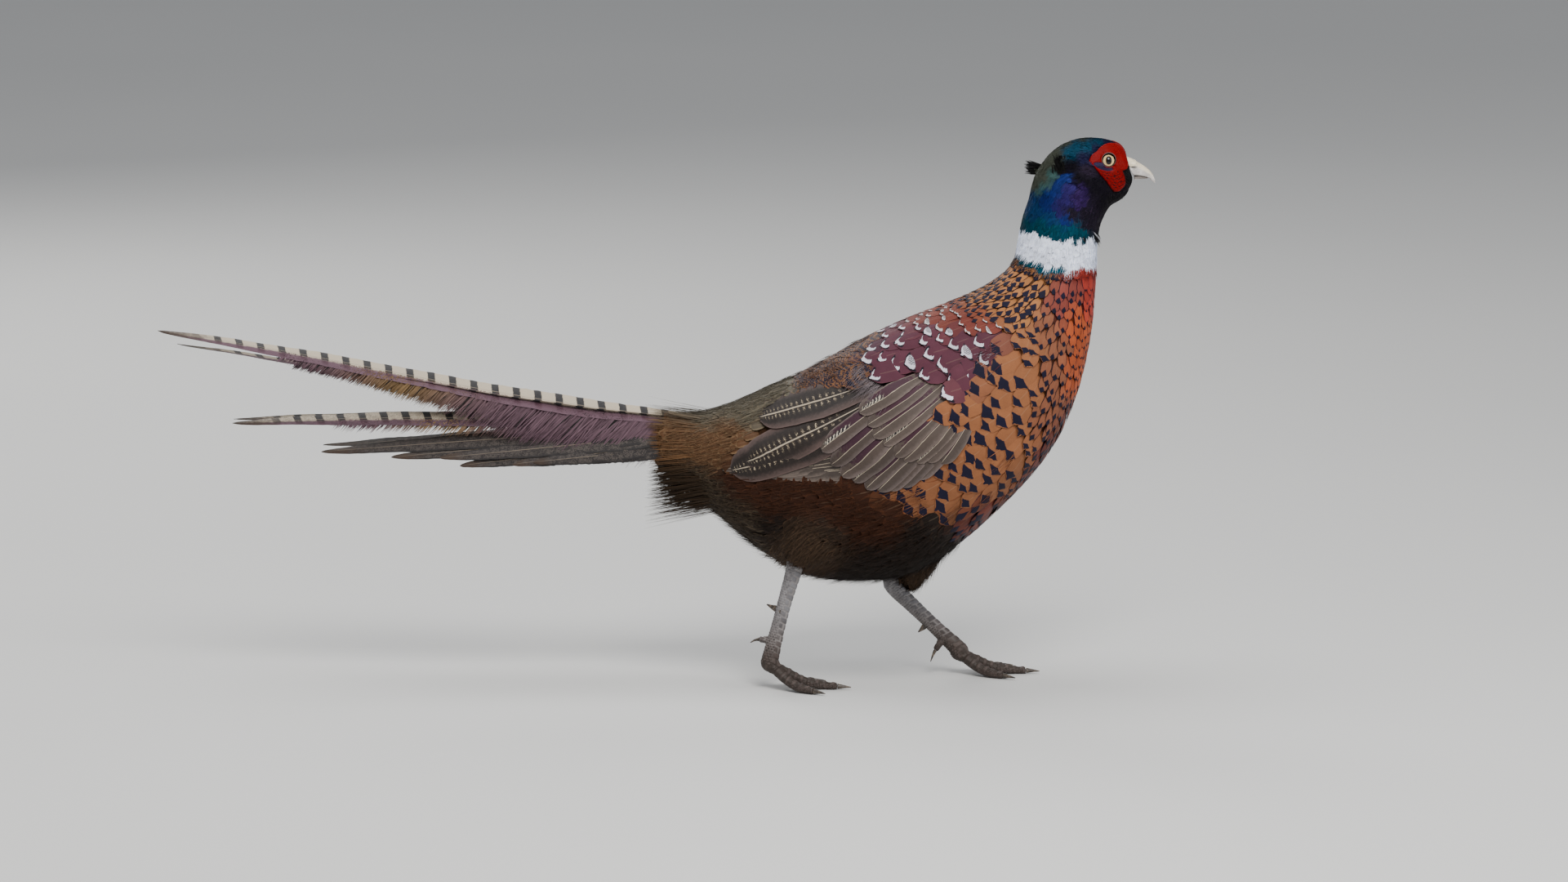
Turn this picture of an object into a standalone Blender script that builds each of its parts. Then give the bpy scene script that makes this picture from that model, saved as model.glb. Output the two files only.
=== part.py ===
"""Cock common pheasant, walking: a life-size still model made of separate named solids.

X runs forward to the bill, Y to the bird's left and Z up. The origin is on the floor, under
the middle of the bird's box. Sizes below are millimetres, which MM turns into metres.
"""

from math import cos, pi, radians, sin, sqrt, tau

import bmesh
import bpy
from mathutils import Matrix, Vector
from mathutils.bvhtree import BVHTree

MM = 0.001
GAP = 0.3               # clear space between two nodes that touch
SIDES = {"right": -1, "left": 1}
LATERAL = Vector((0, 1, 0))
FLAT_WITHIN = 0.6        # degrees between faces that count as one flat face

# Body sections from the tail root to the face. Each is a plane across the body:
# back x, back z, belly x, belly z, half width.
BODY = (
    (1, 188.5, -2, 151.0, 19), (26, 187.0, 19, 136.5, 26), (52, 194.5, 43, 116.0, 37),
    (80, 207.0, 71, 92.0, 48), (110, 222.0, 102, 74.5, 57), (140, 239.0, 138, 70.5, 63),
    (166, 251.5, 174, 75.0, 66.5), (187, 260.0, 206, 93.5, 67), (205, 267.0, 234, 118.0, 64.5),
    (220, 273.5, 260, 145.0, 59), (230, 279.5, 279, 173.0, 51), (237, 284.5, 291, 204.0, 43),
    (241, 288.5, 298, 234.5, 35.5), (243, 291.0, 301, 263.0, 30), (245, 293.5, 302, 285.5, 26.5),
    (247, 307.5, 302, 303.0, 24.5), (250, 322.0, 304, 316.0, 23.5), (255, 336.5, 307, 325.0, 22.5),
    (258, 349.5, 311, 330.5, 21), (265, 361.5, 316, 333.0, 20), (274, 370.5, 321, 337.0, 19),
    (286, 376.0, 324, 341.5, 17.5), (299, 377.2, 326, 345.5, 15.5), (312, 375.0, 327, 348.5, 12.5),
    (320, 368.8, 326, 350.0, 8.0),
)
BODY_LENGTHS = {          # node: first and last row of BODY, and steps between them
    "torso": (0, 14, 28), "neck_ring": (14, 15, 2), "neck": (15, 17, 4), "head": (17, 24, 13),
}
BODY_SIDES = 24          # points round a body section
ROUND_FROM, ROUND_ROWS = 9, 5     # rows of BODY over which the torso turns into a round neck
TORSO_FULLNESS = 2.25    # superellipse power of the torso; 2 is an ellipse
CHEEK_LOW = 0.12         # how far the neck and head are wider below than above

# Bill, along the culmen: top x, top z, under x, under z, half width.
BILL_UPPER = (
    (320, 365.4, 326, 350.9, 7.0), (325, 362.8, 327, 350.8, 6.2), (329, 360.3, 329, 350.8, 5.2),
    (334.6, 356.8, 333.5, 350.2, 3.8), (338.6, 352.9, 336.8, 349.2, 2.6),
    (340.8, 348.6, 338.6, 347.4, 1.3), (341.2, 345.7, 340.6, 345.5, 0.3),
)
BILL_LOWER = (
    (325, 350.3, 326, 346.9, 6.0), (328, 350.2, 328, 347.3, 4.9), (332, 349.7, 332, 347.5, 3.4),
    (335, 348.8, 335, 347.6, 1.9), (336.6, 348.4, 336.6, 347.9, 0.4),
)
BILL_SIDES = 12
UPPER_WIDEST, LOWER_WIDEST = 0.16, 0.84    # height in a section where it is widest
NOSTRIL_FLAP = (Vector((325.5, 4.8, 358.4)), Vector((3.6, 1.9, 2.7)))     # centre, half sizes
NOSTRIL_SLIT = (Vector((328.2, 5.8, 355.9)), Vector((1.9, 1.2, 0.5)))

EYE = (308.9, 363.8)     # x, z of the eye seen from the side
EYE_RADIUS = 5.3
EYE_SUNK = 3.4           # eye centre below the skin
LID_HOLE = 4.1
# Bare red skin round the eye: degrees from forward, turning up, and reach from the eye.
WATTLE = (
    (-5, 12.0), (-18, 13.6), (-28, 14.0), (-41, 11.8), (-50, 17.0), (-57, 21.0), (-72, 23.3),
    (-80, 22.6), (-88, 18.0), (-97, 14.2), (-112, 11.8), (-133, 10.5), (-155, 10.6),
    (-176, 13.5), (-196, 11.6), (-212, 9.4), (-248, 9.4), (-283, 9.8), (-309, 10.8),
    (-330, 11.2),
)
WATTLE_SIDES = 32
WATTLE_SECTION = (       # share of the way out from the eye, and height over the skin
    (0.0, 0.7), (0.09, 1.5), (0.22, 0.9), (0.5, 1.5), (0.8, 1.4), (1.0, 0.5),
)
WATTLE_SUNK = 0.8        # depth of its under side before the head is cut out of it
WATTLE_FOLD, WATTLE_FOLDS = 0.3, 8
FOLDED = (0.3, 0.9)      # share of the way out between which the skin is folded

# Ear tufts: root x, root z, and the way the tuft leans as x, outward, z.
EAR_TUFT = {"right": ((280, 356), (-0.25, 0.45, 0.95)), "left": ((266, 348), (-0.62, 0.62, 0.6))}
EAR_LOCKS = 5
EAR_LENGTH = 13.0
EAR_SUNK = 3.5           # depth of their roots in the head
EAR_BREADTH = 7.0        # reach of the row of roots
EAR_STAGGER = 2.0        # height by which the roots stand out of line
EAR_FAN = (0.35, 0.12)   # how far the locks spread forward and up
EAR_CURL = 1.2           # how far a tip bends back to the head
LOCK_WIDTH = (5.6, 0.6)  # at root and tip
LOCK_THICK = 1.5

# Folded wing in side view, from its primaries up to its median coverts. Each row: tips and
# roots at its lower, middle and upper feather, number of vanes, width, how far they stand off
# the flank, and the height of their shaft.
WING_ROWS = (
    (((122, 153), (84, 153), (46, 151)), ((182, 172), (150, 173), (112, 180)), 6, 18, 2.7, 0.0),
    (((53, 154), (63, 163), (72, 186)), ((140, 196), (148, 204), (156, 216)), 3, 24, 4.2, 0.7),
    (((178, 157), (143, 151), (116, 172)), ((206, 180), (188, 190), (168, 212)), 5, 18, 5.2, 0.0),
    (((192, 172), (168, 179), (148, 200)), ((212, 192), (199, 206), (183, 221)), 4, 19, 5.5, 0.0),
)
WING_CORE = 2.2          # height of the wing core over the flank
CORE_BEVEL = 1.0         # how much lower its edge is
CORE_SUNK = 1.2          # depth of its under side before the torso is cut out of it
CORE_GRID = (7, 3)
VANE_STATIONS = (0.0, 0.28, 0.6, 0.82, 0.94, 1.0)
VANE_ROOT = 1.1          # height of a vane's root, inside the core
VANE_TILT = 0.7          # how far its lower edge stands up over the next vane
VANE_RISE = 0.3          # share of its length in which it rises to its full height
VANE_DIP = 0.8           # how far its tip dips again
VANE_BOW = 0.05          # sideways bow as a share of its width
VANE_VARIES = 0.14       # share of the width that changes from vane to vane
WING_TOP = ((216, 208), (198, 223), (152, 223), (106, 196))       # upper edge of the core
WING_FOOT = ((214, 190), (196, 170), (150, 157), (98, 161))       # lower edge of the core
VANE_THICK = 0.9

# Tail: one line for each pair from the middle out: tip x, y, z, root y, root z, width,
# degrees that the vane rolls outward, and how far the shaft bows up.
TAIL_PAIRS = (
    (-341, 2, 244, 2.4, 184.5, 25, 26, -2), (-290, 9, 181, 5.4, 180.5, 20, 34, 4),
    (-229, 15, 162, 8.2, 178.5, 20, 41, 0.5), (-181, 20, 159, 10.8, 176.3, 19, 47, 0),
    (-148, 23, 159, 13, 173.8, 18, 52, 0), (-134, 25, 154, 15, 171.2, 17, 57, 0),
    (-98, 25.5, 155, 16.6, 168.5, 16, 61, 0), (-84, 25, 156.5, 17.8, 165.5, 15, 65, 0),
)
TAIL_SWING = 1.8         # the middle pair bends down, then up again
TAIL_SPLIT = (13.0, -9.8)    # how the left middle feather ends short of and below the right
TAIL_UNDER = 2.2         # how far its root is below the right one's
TAIL_ROOT_X = -2.0
TAIL_THICK = 0.8
TAIL_CAMBER = (0.3, 0.34)    # rise of the shaft and droop of the edges, in the two middle pairs
TAIL_NARROW = (0.6, 0.62)    # width at the root and toward the tip, as a share of the full one
TAIL_UNROLL = 0.8        # share of the roll that is left at the tip
TAIL_CORE = (             # x, top z, under z, half width of the block that holds the roots
    (0, 188.0, 151.3, 18.8), (-22, 189.0, 156.0, 18.0), (-46, 190.0, 162.0, 14.0),
    (-70, 191.0, 171.0, 8.0),
)
CORE_SIDES = 16
CORE_LEAN = (1.0, -2.0)  # x of its front face at the top and the foot, beside the torso's end

# Legs. Path points are x, z; the right leg trails and the left leg reaches forward.
FOOT_TRACK = 28          # each foot's distance from the middle plane
HOCK_TRACK = 31
THIGH = {                # x, y outward, z, half depth, half breadth
    "right": ((128, 46, 126, 12, 7), (122, 47, 119, 21, 13), (112, 44, 109, 22, 15),
              (102, 38, 99, 16, 13), (94.5, 33, 88, 8.0, 7.5)),
    "left": ((186, 42, 132, 14, 8), (184, 44, 118, 28, 18), (180, 40, 100, 28, 20),
             (175, 36, 79, 20, 15), (168.5, 32, 59, 10.5, 9.0)),
}
SHANK = {
    "right": ((93.6, 103, 3.7, 3.4), (94.4, 92, 5.0, 4.3), (94.6, 84, 5.8, 4.9),
              (92.0, 74, 5.3, 4.2), (88.0, 60, 4.9, 3.8), (84.4, 46, 4.9, 3.8),
              (82.4, 38, 5.1, 4.0)),
    "left": ((163.0, 70, 5.0, 4.3), (161.6, 64, 6.0, 4.9), (165.5, 58, 5.7, 4.6),
             (174.0, 50, 5.3, 4.2), (184.5, 40, 5.0, 3.9), (195.0, 30, 5.2, 4.0)),
}
STEM = {
    "right": ((81.2, 33, 5.3, 4.3), (79.4, 26, 5.7, 4.9), (78.0, 19, 6.2, 5.6)),
    "left": ((198.6, 26.6, 5.4, 4.4), (204.0, 21.5, 5.8, 5.0), (208.6, 17.0, 6.2, 5.6)),
}
SPUR = {"right": 4.4, "left": 4.3}   # place along the shank's points
SPUR_LENGTH = 7.0
SPUR_RADIUS = (4.2, 0.4)      # at the base and the point
SPUR_CURL = -1.2         # how far its point turns up
SPUR_INWARD = 1.5        # distance of its base from the shank's middle, to the inner side
LEAN_INWARD = 0.35       # how far spurs and hind toes lean inward
# Toes: name, turn from straight ahead towards the bird's outer side, and length.
TOES = (("inner", -31, 35), ("middle", 3, 46), ("outer", 36, 37))
TOE_FALL = ((0.0, 1.0), (0.26, 0.58), (0.52, 0.17), (0.76, 0.0), (1.0, 0.0))
TOE_RADIUS = (4.9, 4.3, 3.7, 3.5, 2.7)
TOE_SUNK = 0.8           # how far a toe's round underside is flattened on the floor
KNUCKLE = 0.08           # how much thicker the toes are at their joints
BALL = Vector((6.6, 6.4, 6.6))    # half sizes of the ball where the toes meet
BALL_SUNK = 1.0          # depth of its middle under the foot's joint
HALLUX = 11.0            # length of the raised hind toe
HALLUX_RADIUS = (3.4, 2.0)
HALLUX_FALL = 1.0        # how far its end bends down
CLAW_LENGTH = 9.5
HIND_CLAW_LENGTH = 6.5
CLAW_RADIUS = (2.0, 0.35)     # at the base, at most, and the point
CLAW_SHARE = 0.74        # base of a claw as a share of its toe's radius
HIND_CLAW_RADIUS = 1.9
CLAW_DROOP = (0.6, 2.4)  # least and most that a claw bends down
CLAW_CLEAR = 1.6         # height that its point keeps over the floor


def clear_scene():
    for item in list(bpy.data.objects):
        bpy.data.objects.remove(item, do_unlink=True)


def finish(name, colour, roughness, metallic=0.0):
    """A Principled material with the part's colour from the photo."""
    material = bpy.data.materials.new(name)
    material.use_nodes = True
    shader = material.node_tree.nodes["Principled BSDF"]
    shader.inputs["Base Color"].default_value = (*colour, 1.0)
    shader.inputs["Roughness"].default_value = roughness
    shader.inputs["Metallic"].default_value = metallic
    material.diffuse_color = (*colour, 1.0)
    return material


def lerp(a, b, t):
    return a + (b - a) * t


def curve_through(rows, t):
    """Catmull-Rom value at t, where whole numbers are the rows themselves."""
    last = len(rows) - 1
    i = min(int(t), last - 1)
    f = t - i
    before, after = rows[max(i - 1, 0)], rows[min(i + 2, last)]
    value = []
    for p0, p1, p2, p3 in zip(before, rows[i], rows[i + 1], after):
        value.append(0.5 * (2 * p1 + (p2 - p0) * f + (2 * p0 - 5 * p1 + 4 * p2 - p3) * f * f
                            + (3 * p1 - p0 - 3 * p2 + p3) * f ** 3))
    return value


def new_object(name, mesh):
    item = bpy.data.objects.new(name, mesh)
    bpy.context.scene.collection.objects.link(item)
    return item


def loft(name, rings):
    """A closed object through rings of equally many points, in mm, with flat ends."""
    count = len(rings[0])
    points = [point * MM for ring in rings for point in ring]
    faces = [tuple(reversed(range(count)))]
    for r in range(len(rings) - 1):
        for k in range(count):
            a, b = r * count + k, r * count + (k + 1) % count
            faces += [(a, b, b + count), (a, b + count, a + count)]
    start = (len(rings) - 1) * count
    faces.append(tuple(range(start, start + count)))
    mesh = bpy.data.meshes.new(name)
    mesh.from_pydata(points, [], faces)
    face_out(mesh)
    return new_object(name, mesh)


def face_out(mesh):
    bm = bmesh.new()
    bm.from_mesh(mesh)
    bmesh.ops.recalc_face_normals(bm, faces=bm.faces)
    if bm.calc_volume(signed=True) < 0:
        bmesh.ops.reverse_faces(bm, faces=bm.faces)
    bm.to_mesh(mesh)
    bm.free()


def keep_largest(mesh):
    """Keep the largest closed surface, which drops loose scraps and sealed hollows."""
    bm = bmesh.new()
    bm.from_mesh(mesh)
    left, shells = set(bm.faces), []
    while left:
        stack, shell = [left.pop()], []
        while stack:
            face = stack.pop()
            shell.append(face)
            for edge in face.edges:
                for other in edge.link_faces:
                    if other in left:
                        left.remove(other)
                        stack.append(other)
        shells.append(shell)
    shells.sort(key=lambda shell: -sum(face.calc_area() for face in shell))
    for shell in shells[1:]:
        bmesh.ops.delete(bm, geom=shell, context="FACES")
    bm.to_mesh(mesh)
    bm.free()


def merge_flat(mesh):
    """Join the slivers that a Boolean leaves on one flat face, unless that pinches the solid."""
    bm = bmesh.new()
    bm.from_mesh(mesh)
    bmesh.ops.dissolve_limit(bm, angle_limit=radians(FLAT_WITHIN), verts=bm.verts, edges=bm.edges)
    bmesh.ops.triangulate(bm, faces=bm.faces)
    if all(len(edge.link_faces) == 2 for edge in bm.edges):
        bm.to_mesh(mesh)
    bm.free()


def boolean(item, others, operation, solver="EXACT"):
    """Union or difference with a collection of closed objects, applied; they are removed.

    The wing takes the MANIFOLD solver, because EXACT leaves open edges among its vanes.
    """
    group = bpy.data.collections.new(item.name + "_pieces")
    bpy.context.scene.collection.children.link(group)
    for other in others:
        group.objects.link(other)
    modifier = item.modifiers.new("join", "BOOLEAN")
    modifier.operation = operation
    modifier.operand_type = "COLLECTION"
    modifier.collection = group
    modifier.solver = solver
    graph = bpy.context.evaluated_depsgraph_get()
    result = bpy.data.meshes.new_from_object(item.evaluated_get(graph))
    item.modifiers.remove(modifier)
    item.data = result
    for other in others:
        bpy.data.objects.remove(other, do_unlink=True)
    bpy.data.collections.remove(group)
    keep_largest(item.data)
    merge_flat(item.data)
    return item


def swollen(item, amount=GAP):
    """A copy of a closed object, grown along its normals, to cut a neighbour clear of it."""
    mesh = item.data.copy()
    for vertex, normal in zip(mesh.vertices, [v.normal.copy() for v in mesh.vertices]):
        vertex.co += normal * amount * MM
    return new_object("clearance", mesh)


def ellipsoid(centre, half_sizes, segments=16, rings=10, turn=Matrix()):
    bm = bmesh.new()
    bmesh.ops.create_uvsphere(bm, u_segments=segments, v_segments=rings, radius=1.0)
    scale = Matrix.Diagonal((*(half_sizes * MM), 1))
    bm.transform(Matrix.Translation(centre * MM) @ turn @ scale)
    mesh = bpy.data.meshes.new("ellipsoid")
    bm.to_mesh(mesh)
    bm.free()
    return new_object("ellipsoid", mesh)


def complete(item, name, material):
    """Name a finished node, give it its material and shade it."""
    item.name = name
    item.data.name = name
    item.data.materials.clear()
    item.data.materials.append(material)
    item.data.shade_smooth()
    item.data.set_sharp_from_angle(angle=radians(40))
    return item


def tree_of(item):
    mesh = item.data
    return BVHTree.FromPolygons([v.co / MM for v in mesh.vertices],
                                [tuple(p.vertices) for p in mesh.polygons])


def on_side(tree, x, z, side, lift):
    """The point over (x, z) on one side of a body, lifted along the surface's normal."""
    place, normal, _, _ = tree.ray_cast(Vector((x, side * 200, z)), LATERAL * -side)
    return place + normal * lift, normal


def vane(name, path, sides, ups, widths, thick, rib=0.0, droop=0.0):
    """A flat tapered feather: a slab with equal diagonals above and below.

    rib raises the middle of the upper face over its edges, and droop lowers both edges.
    """
    rings = []
    for centre, side, up, width in zip(path, sides, ups, widths):
        edge = side * width / 2
        fall = up * droop * width / 2
        top = up * thick / 2
        ring = [centre - edge - fall - top, centre - edge - fall + top]
        if rib or droop:
            ring.append(centre + top + up * rib)
        ring += [centre + edge - fall + top, centre + edge - fall - top]
        if rib or droop:
            ring.append(centre - top)
        rings.append(ring)
    return loft(name, rings)


def feather_width(t, width, root=0.55, round_from=0.72):
    """Width along a feather: narrow root, full middle and a rounded tip."""
    full = lerp(root, 1.0, min(t / 0.35, 1.0))
    if t <= round_from:
        return width * full
    f = (t - round_from) / (1 - round_from)
    return max(width * full * sqrt(max(1 - f * f, 0)), 0.12 * width)


def body_section(s):
    back_x, back_z, belly_x, belly_z, half = curve_through(BODY, s)
    back, belly = Vector((back_x, 0, back_z)), Vector((belly_x, 0, belly_z))
    return (back + belly) / 2, (back - belly) / 2, half


def body_ring(s, shift=0.0, grow=0.0):
    """Points round the section at s; shift moves it along the body, grow swells it."""
    middle, up, half = body_section(s)
    ahead = Vector((up.z, 0, -up.x)).normalized()
    blend = min(max((s - ROUND_FROM) / ROUND_ROWS, 0), 1)
    power = lerp(TORSO_FULLNESS, 2.0, blend)
    ring = []
    for k in range(BODY_SIDES):
        angle = tau * k / BODY_SIDES
        c, q = cos(angle), sin(angle)
        rise = abs(c) ** (2 / power) * (1 if c > 0 else -1)
        out = abs(q) ** (2 / power) * (1 if q > 0 else -1) * (1 - CHEEK_LOW * blend * c)
        ring.append(middle + ahead * shift + up * rise * (1 + grow / up.length)
                    + LATERAL * out * (half + grow))
    return ring


def body_length(name, start, end, steps):
    """A length of the body between two sections, half a gap short at both ends."""
    rings = []
    for i in range(steps + 1):
        shift = GAP / 2 if i == 0 else -GAP / 2 if i == steps else 0.0
        rings.append(body_ring(lerp(start, end, i / steps), shift))
    return loft(name, rings)


def bill_part(name, rows, edge):
    """One half of the bill; edge is the height, from 0 to 1, where it is widest."""
    rings = []
    for i in range(2 * len(rows) - 1):
        top_x, top_z, under_x, under_z, half = curve_through(rows, i / 2)
        top, under = Vector((top_x, 0, top_z)), Vector((under_x, 0, under_z))
        if i == 0:
            ahead = Vector((top_z - under_z, 0, under_x - top_x)).normalized()
            top, under = top + ahead * GAP, under + ahead * GAP
        widest = under.lerp(top, edge)
        ring = []
        for k in range(BILL_SIDES):
            angle = tau * k / BILL_SIDES
            c = cos(angle)
            height = (top - widest) * c if c > 0 else (widest - under) * c
            ring.append(widest + height + LATERAL * half * sin(angle))
        rings.append(ring)
    return loft(name, rings)


def mirrored(vector, side):
    return Vector((vector.x, vector.y * side, vector.z))


def eye_place(tree, side):
    skin, normal = on_side(tree, *EYE, side, 0)
    return skin - normal * EYE_SUNK, normal


def eye_ball(tree, side, radius):
    centre, normal = eye_place(tree, side)
    turn = normal.to_track_quat("Z", "Y").to_matrix().to_4x4()
    return ellipsoid(centre, Vector((radius, radius, radius)), 16, 9, turn)


def wattle_reach(angle):
    """Reach of the red skin at an angle in degrees, read round its outline."""
    while angle > WATTLE[0][0]:
        angle -= 360
    outline = WATTLE + ((WATTLE[0][0] - 360, WATTLE[0][1]),)
    for (a0, r0), (a1, r1) in zip(outline, outline[1:]):
        if a1 <= angle <= a0:
            f = (a0 - angle) / (a0 - a1)
            return lerp(r0, r1, f * f * (3 - 2 * f))
    return outline[-1][1]


def wattle(tree, side):
    """Red skin with a raised lid ring and soft folds, sunk in the head before it is cut."""
    outer, inner = [], []
    for step, height in WATTLE_SECTION:
        ring_out, ring_in = [], []
        for k in range(WATTLE_SIDES):
            turn = 360 * k / WATTLE_SIDES
            reach = lerp(LID_HOLE, wattle_reach(turn), step)
            x = EYE[0] + reach * cos(radians(turn))
            z = EYE[1] + reach * sin(radians(turn))
            fold = 0.0
            if FOLDED[0] < step < FOLDED[1]:
                fold = WATTLE_FOLD * cos(radians(turn) * WATTLE_FOLDS)
            ring_out.append(on_side(tree, x, z, side, GAP + height + fold)[0])
            ring_in.append(on_side(tree, x, z, side, -WATTLE_SUNK)[0])
        outer.append(ring_out)
        inner.append(ring_in)
    return torus_like("wattle", outer + inner[::-1])


def torus_like(name, rings):
    """A closed object from rings that follow one another and meet again."""
    count, total = len(rings[0]), len(rings)
    points = [point * MM for ring in rings for point in ring]
    faces = []
    for r in range(total):
        for k in range(count):
            a, b = r * count + k, r * count + (k + 1) % count
            c, d = ((r + 1) % total) * count + (k + 1) % count, ((r + 1) % total) * count + k
            faces += [(a, b, c), (a, c, d)]
    mesh = bpy.data.meshes.new(name)
    mesh.from_pydata(points, [], faces)
    face_out(mesh)
    return new_object(name, mesh)


def ear_locks(tree, side_name):
    """A tuft of tapered locks whose roots are sunk in the head."""
    side = SIDES[side_name]
    (x, z), lean = EAR_TUFT[side_name]
    locks = []
    for k in range(EAR_LOCKS):
        f = k / (EAR_LOCKS - 1) - 0.5
        root, normal = on_side(tree, x + EAR_BREADTH * f, z + EAR_STAGGER * sin(k * 2.4), side,
                               -EAR_SUNK)
        aim = Vector((lean[0] + EAR_FAN[0] * f, lean[1] * side,
                      lean[2] + EAR_FAN[1] * cos(k * 1.9)))
        aim.normalize()
        breadth = aim.cross(normal).normalized()
        length = EAR_LENGTH * (1 - EAR_FAN[0] * abs(f)) + EAR_SUNK
        path, widths = [], []
        for i in range(4):
            t = i / 3
            path.append(root + aim * length * t - normal * EAR_CURL * t * t)
            widths.append(lerp(*LOCK_WIDTH, t ** 1.8))
        up = breadth.cross(aim)
        locks.append(vane("lock", path, [breadth] * 4, [up] * 4, widths, LOCK_THICK))
    return locks


def three_point(points, t):
    """A smooth value through three points at t = 0, 0.5 and 1."""
    a, b, c = (Vector(point) for point in points)
    return a * (1 - t) * (1 - 2 * t) + b * 4 * t * (1 - t) + c * t * (2 * t - 1)


def wing_vane(tree, root, tip, width, stand, rib):
    """One wing feather laid over the flank, from its root in the core to its tip."""
    path, sides, ups, widths = [], [], [], []
    along = (tip - root).normalized()
    across = Vector((-along.y, along.x))
    for t in VANE_STATIONS:
        flat = root.lerp(tip, t) + across * VANE_BOW * width * sin(pi * t)
        lift = lerp(VANE_ROOT, stand, min(t / VANE_RISE, 1)) - VANE_DIP * t * t
        spread = feather_width(t, width)
        point, normal = on_side(tree, flat.x, flat.y, -1, lift)
        tilt = VANE_TILT * min(t / VANE_RISE, 1)
        low, _ = on_side(tree, *(flat + across * spread / 2), -1, lift + tilt)
        high, _ = on_side(tree, *(flat - across * spread / 2), -1, lift - tilt)
        path.append(point if rib else (low + high) / 2)
        sides.append((high - low).normalized())
        ups.append(normal)
        widths.append((high - low).length)
    return vane("wing_vane", path, sides, ups, widths, VANE_THICK, rib)


def wing_core(tree):
    """A thin shell over the flank that the wing feathers grow from."""
    columns, rows = CORE_GRID
    over, under = [], []
    for i in range(columns + 1):
        t = i / columns * (len(WING_TOP) - 1)
        top, foot = Vector(curve_through(WING_TOP, t)), Vector(curve_through(WING_FOOT, t))
        for j in range(rows + 1):
            flat = top.lerp(foot, j / rows)
            edge = min(j, rows - j, i, columns - i) / 2
            height = WING_CORE - CORE_BEVEL * max(1 - edge, 0)
            over.append(on_side(tree, *flat, -1, height)[0])
            under.append(on_side(tree, *flat, -1, -CORE_SUNK)[0])
    return two_faced("wing_core", over, under, columns, rows)


def two_faced(name, over, under, columns, rows):
    """A closed slab between two grids of points."""
    points = [point * MM for point in over + under]
    offset, wide = len(over), rows + 1
    faces = []
    for i in range(columns):
        for j in range(rows):
            a, b, c, d = i * wide + j, i * wide + j + 1, (i + 1) * wide + j + 1, (i + 1) * wide + j
            faces += [(a, b, c), (a, c, d)]
            faces += [(offset + a, offset + c, offset + b), (offset + a, offset + d, offset + c)]
    rim = [j for j in range(rows)] + [i * wide + rows for i in range(columns)]
    rim += [columns * wide + j for j in range(rows, 0, -1)]
    rim += [i * wide for i in range(columns, 0, -1)]
    for a, b in zip(rim, rim[1:] + rim[:1]):
        faces += [(a, offset + a, offset + b), (a, offset + b, b)]
    mesh = bpy.data.meshes.new(name)
    mesh.from_pydata(points, [], faces)
    face_out(mesh)
    return new_object(name, mesh)


def right_wing(tree):
    pieces = []
    for tips, roots, count, width, stand, rib in WING_ROWS:
        for k in range(count):
            t = k / (count - 1)
            size = width * (1 - VANE_VARIES + VANE_VARIES * sin(2.2 * k + 1))
            pieces.append(wing_vane(tree, three_point(roots, t), three_point(tips, t),
                                    size, stand, rib))
    return boolean(wing_core(tree), pieces, "UNION", "MANIFOLD")


def reflected(item, name):
    mesh = item.data.copy()
    mesh.transform(Matrix.Scale(-1, 4, LATERAL))
    face_out(mesh)
    return new_object(name, mesh)


def tail_vane(pair, index, side):
    """One tail feather: a cambered vane from the tail block to its pointed tip."""
    tip_x, tip_y, tip_z, root_y, root_z, width, roll, bow = pair
    if index == 0 and side > 0:
        tip_x, tip_z, root_z = tip_x + TAIL_SPLIT[0], tip_z + TAIL_SPLIT[1], root_z - TAIL_UNDER
    root = Vector((TAIL_ROOT_X, root_y * side, root_z))
    tip = Vector((tip_x, tip_y * side, tip_z))
    steps = 12 if index == 0 else max(5, 9 - index)
    path = []
    for i in range(steps):
        t = i / (steps - 1)
        rise = bow * 4 * t * (1 - t)
        if index == 0:
            rise -= TAIL_SWING * sin(tau * t)
        path.append(root.lerp(tip, t) + Vector((0, 0, rise)))
    sides, ups, widths = [], [], []
    for i in range(steps):
        t = i / (steps - 1)
        ahead = (path[min(i + 1, steps - 1)] - path[max(i - 1, 0)]).normalized()
        level = ahead.cross(Vector((0, 0, 1))).normalized()
        flat_up = level.cross(ahead)
        lean = Matrix.Rotation(radians(-roll * side * lerp(1.0, TAIL_UNROLL, t)), 3, ahead * -1)
        sides.append(lean @ level)
        ups.append(lean @ flat_up)
        taper = lerp(TAIL_NARROW[0], 1, min(t * 5, 1)) * lerp(1, TAIL_NARROW[1], t)
        widths.append(width * taper * sqrt(1 - t ** 4) + TAIL_THICK)
    camber = TAIL_CAMBER if index < 2 else (0.0, 0.0)
    return vane("tail_vane", path, sides, ups, widths, TAIL_THICK, *camber)


def tail():
    rings = []
    for i, (x, top, under, half) in enumerate(TAIL_CORE):
        middle, reach = (top + under) / 2, (top - under) / 2
        base = x - GAP / 2 if i == 0 else x
        ring = []
        for k in range(CORE_SIDES):
            angle = tau * k / CORE_SIDES
            rise = cos(angle)
            lean = lerp(CORE_LEAN[1], CORE_LEAN[0], (1 + rise) / 2) if i == 0 else 0
            ring.append(Vector((base + lean, half * sin(angle), middle + reach * rise)))
        rings.append(ring)
    pieces = [tail_vane(pair, index, side) for index, pair in enumerate(TAIL_PAIRS)
              for side in SIDES.values()]
    return boolean(loft("tail_core", rings), pieces, "UNION")


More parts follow.
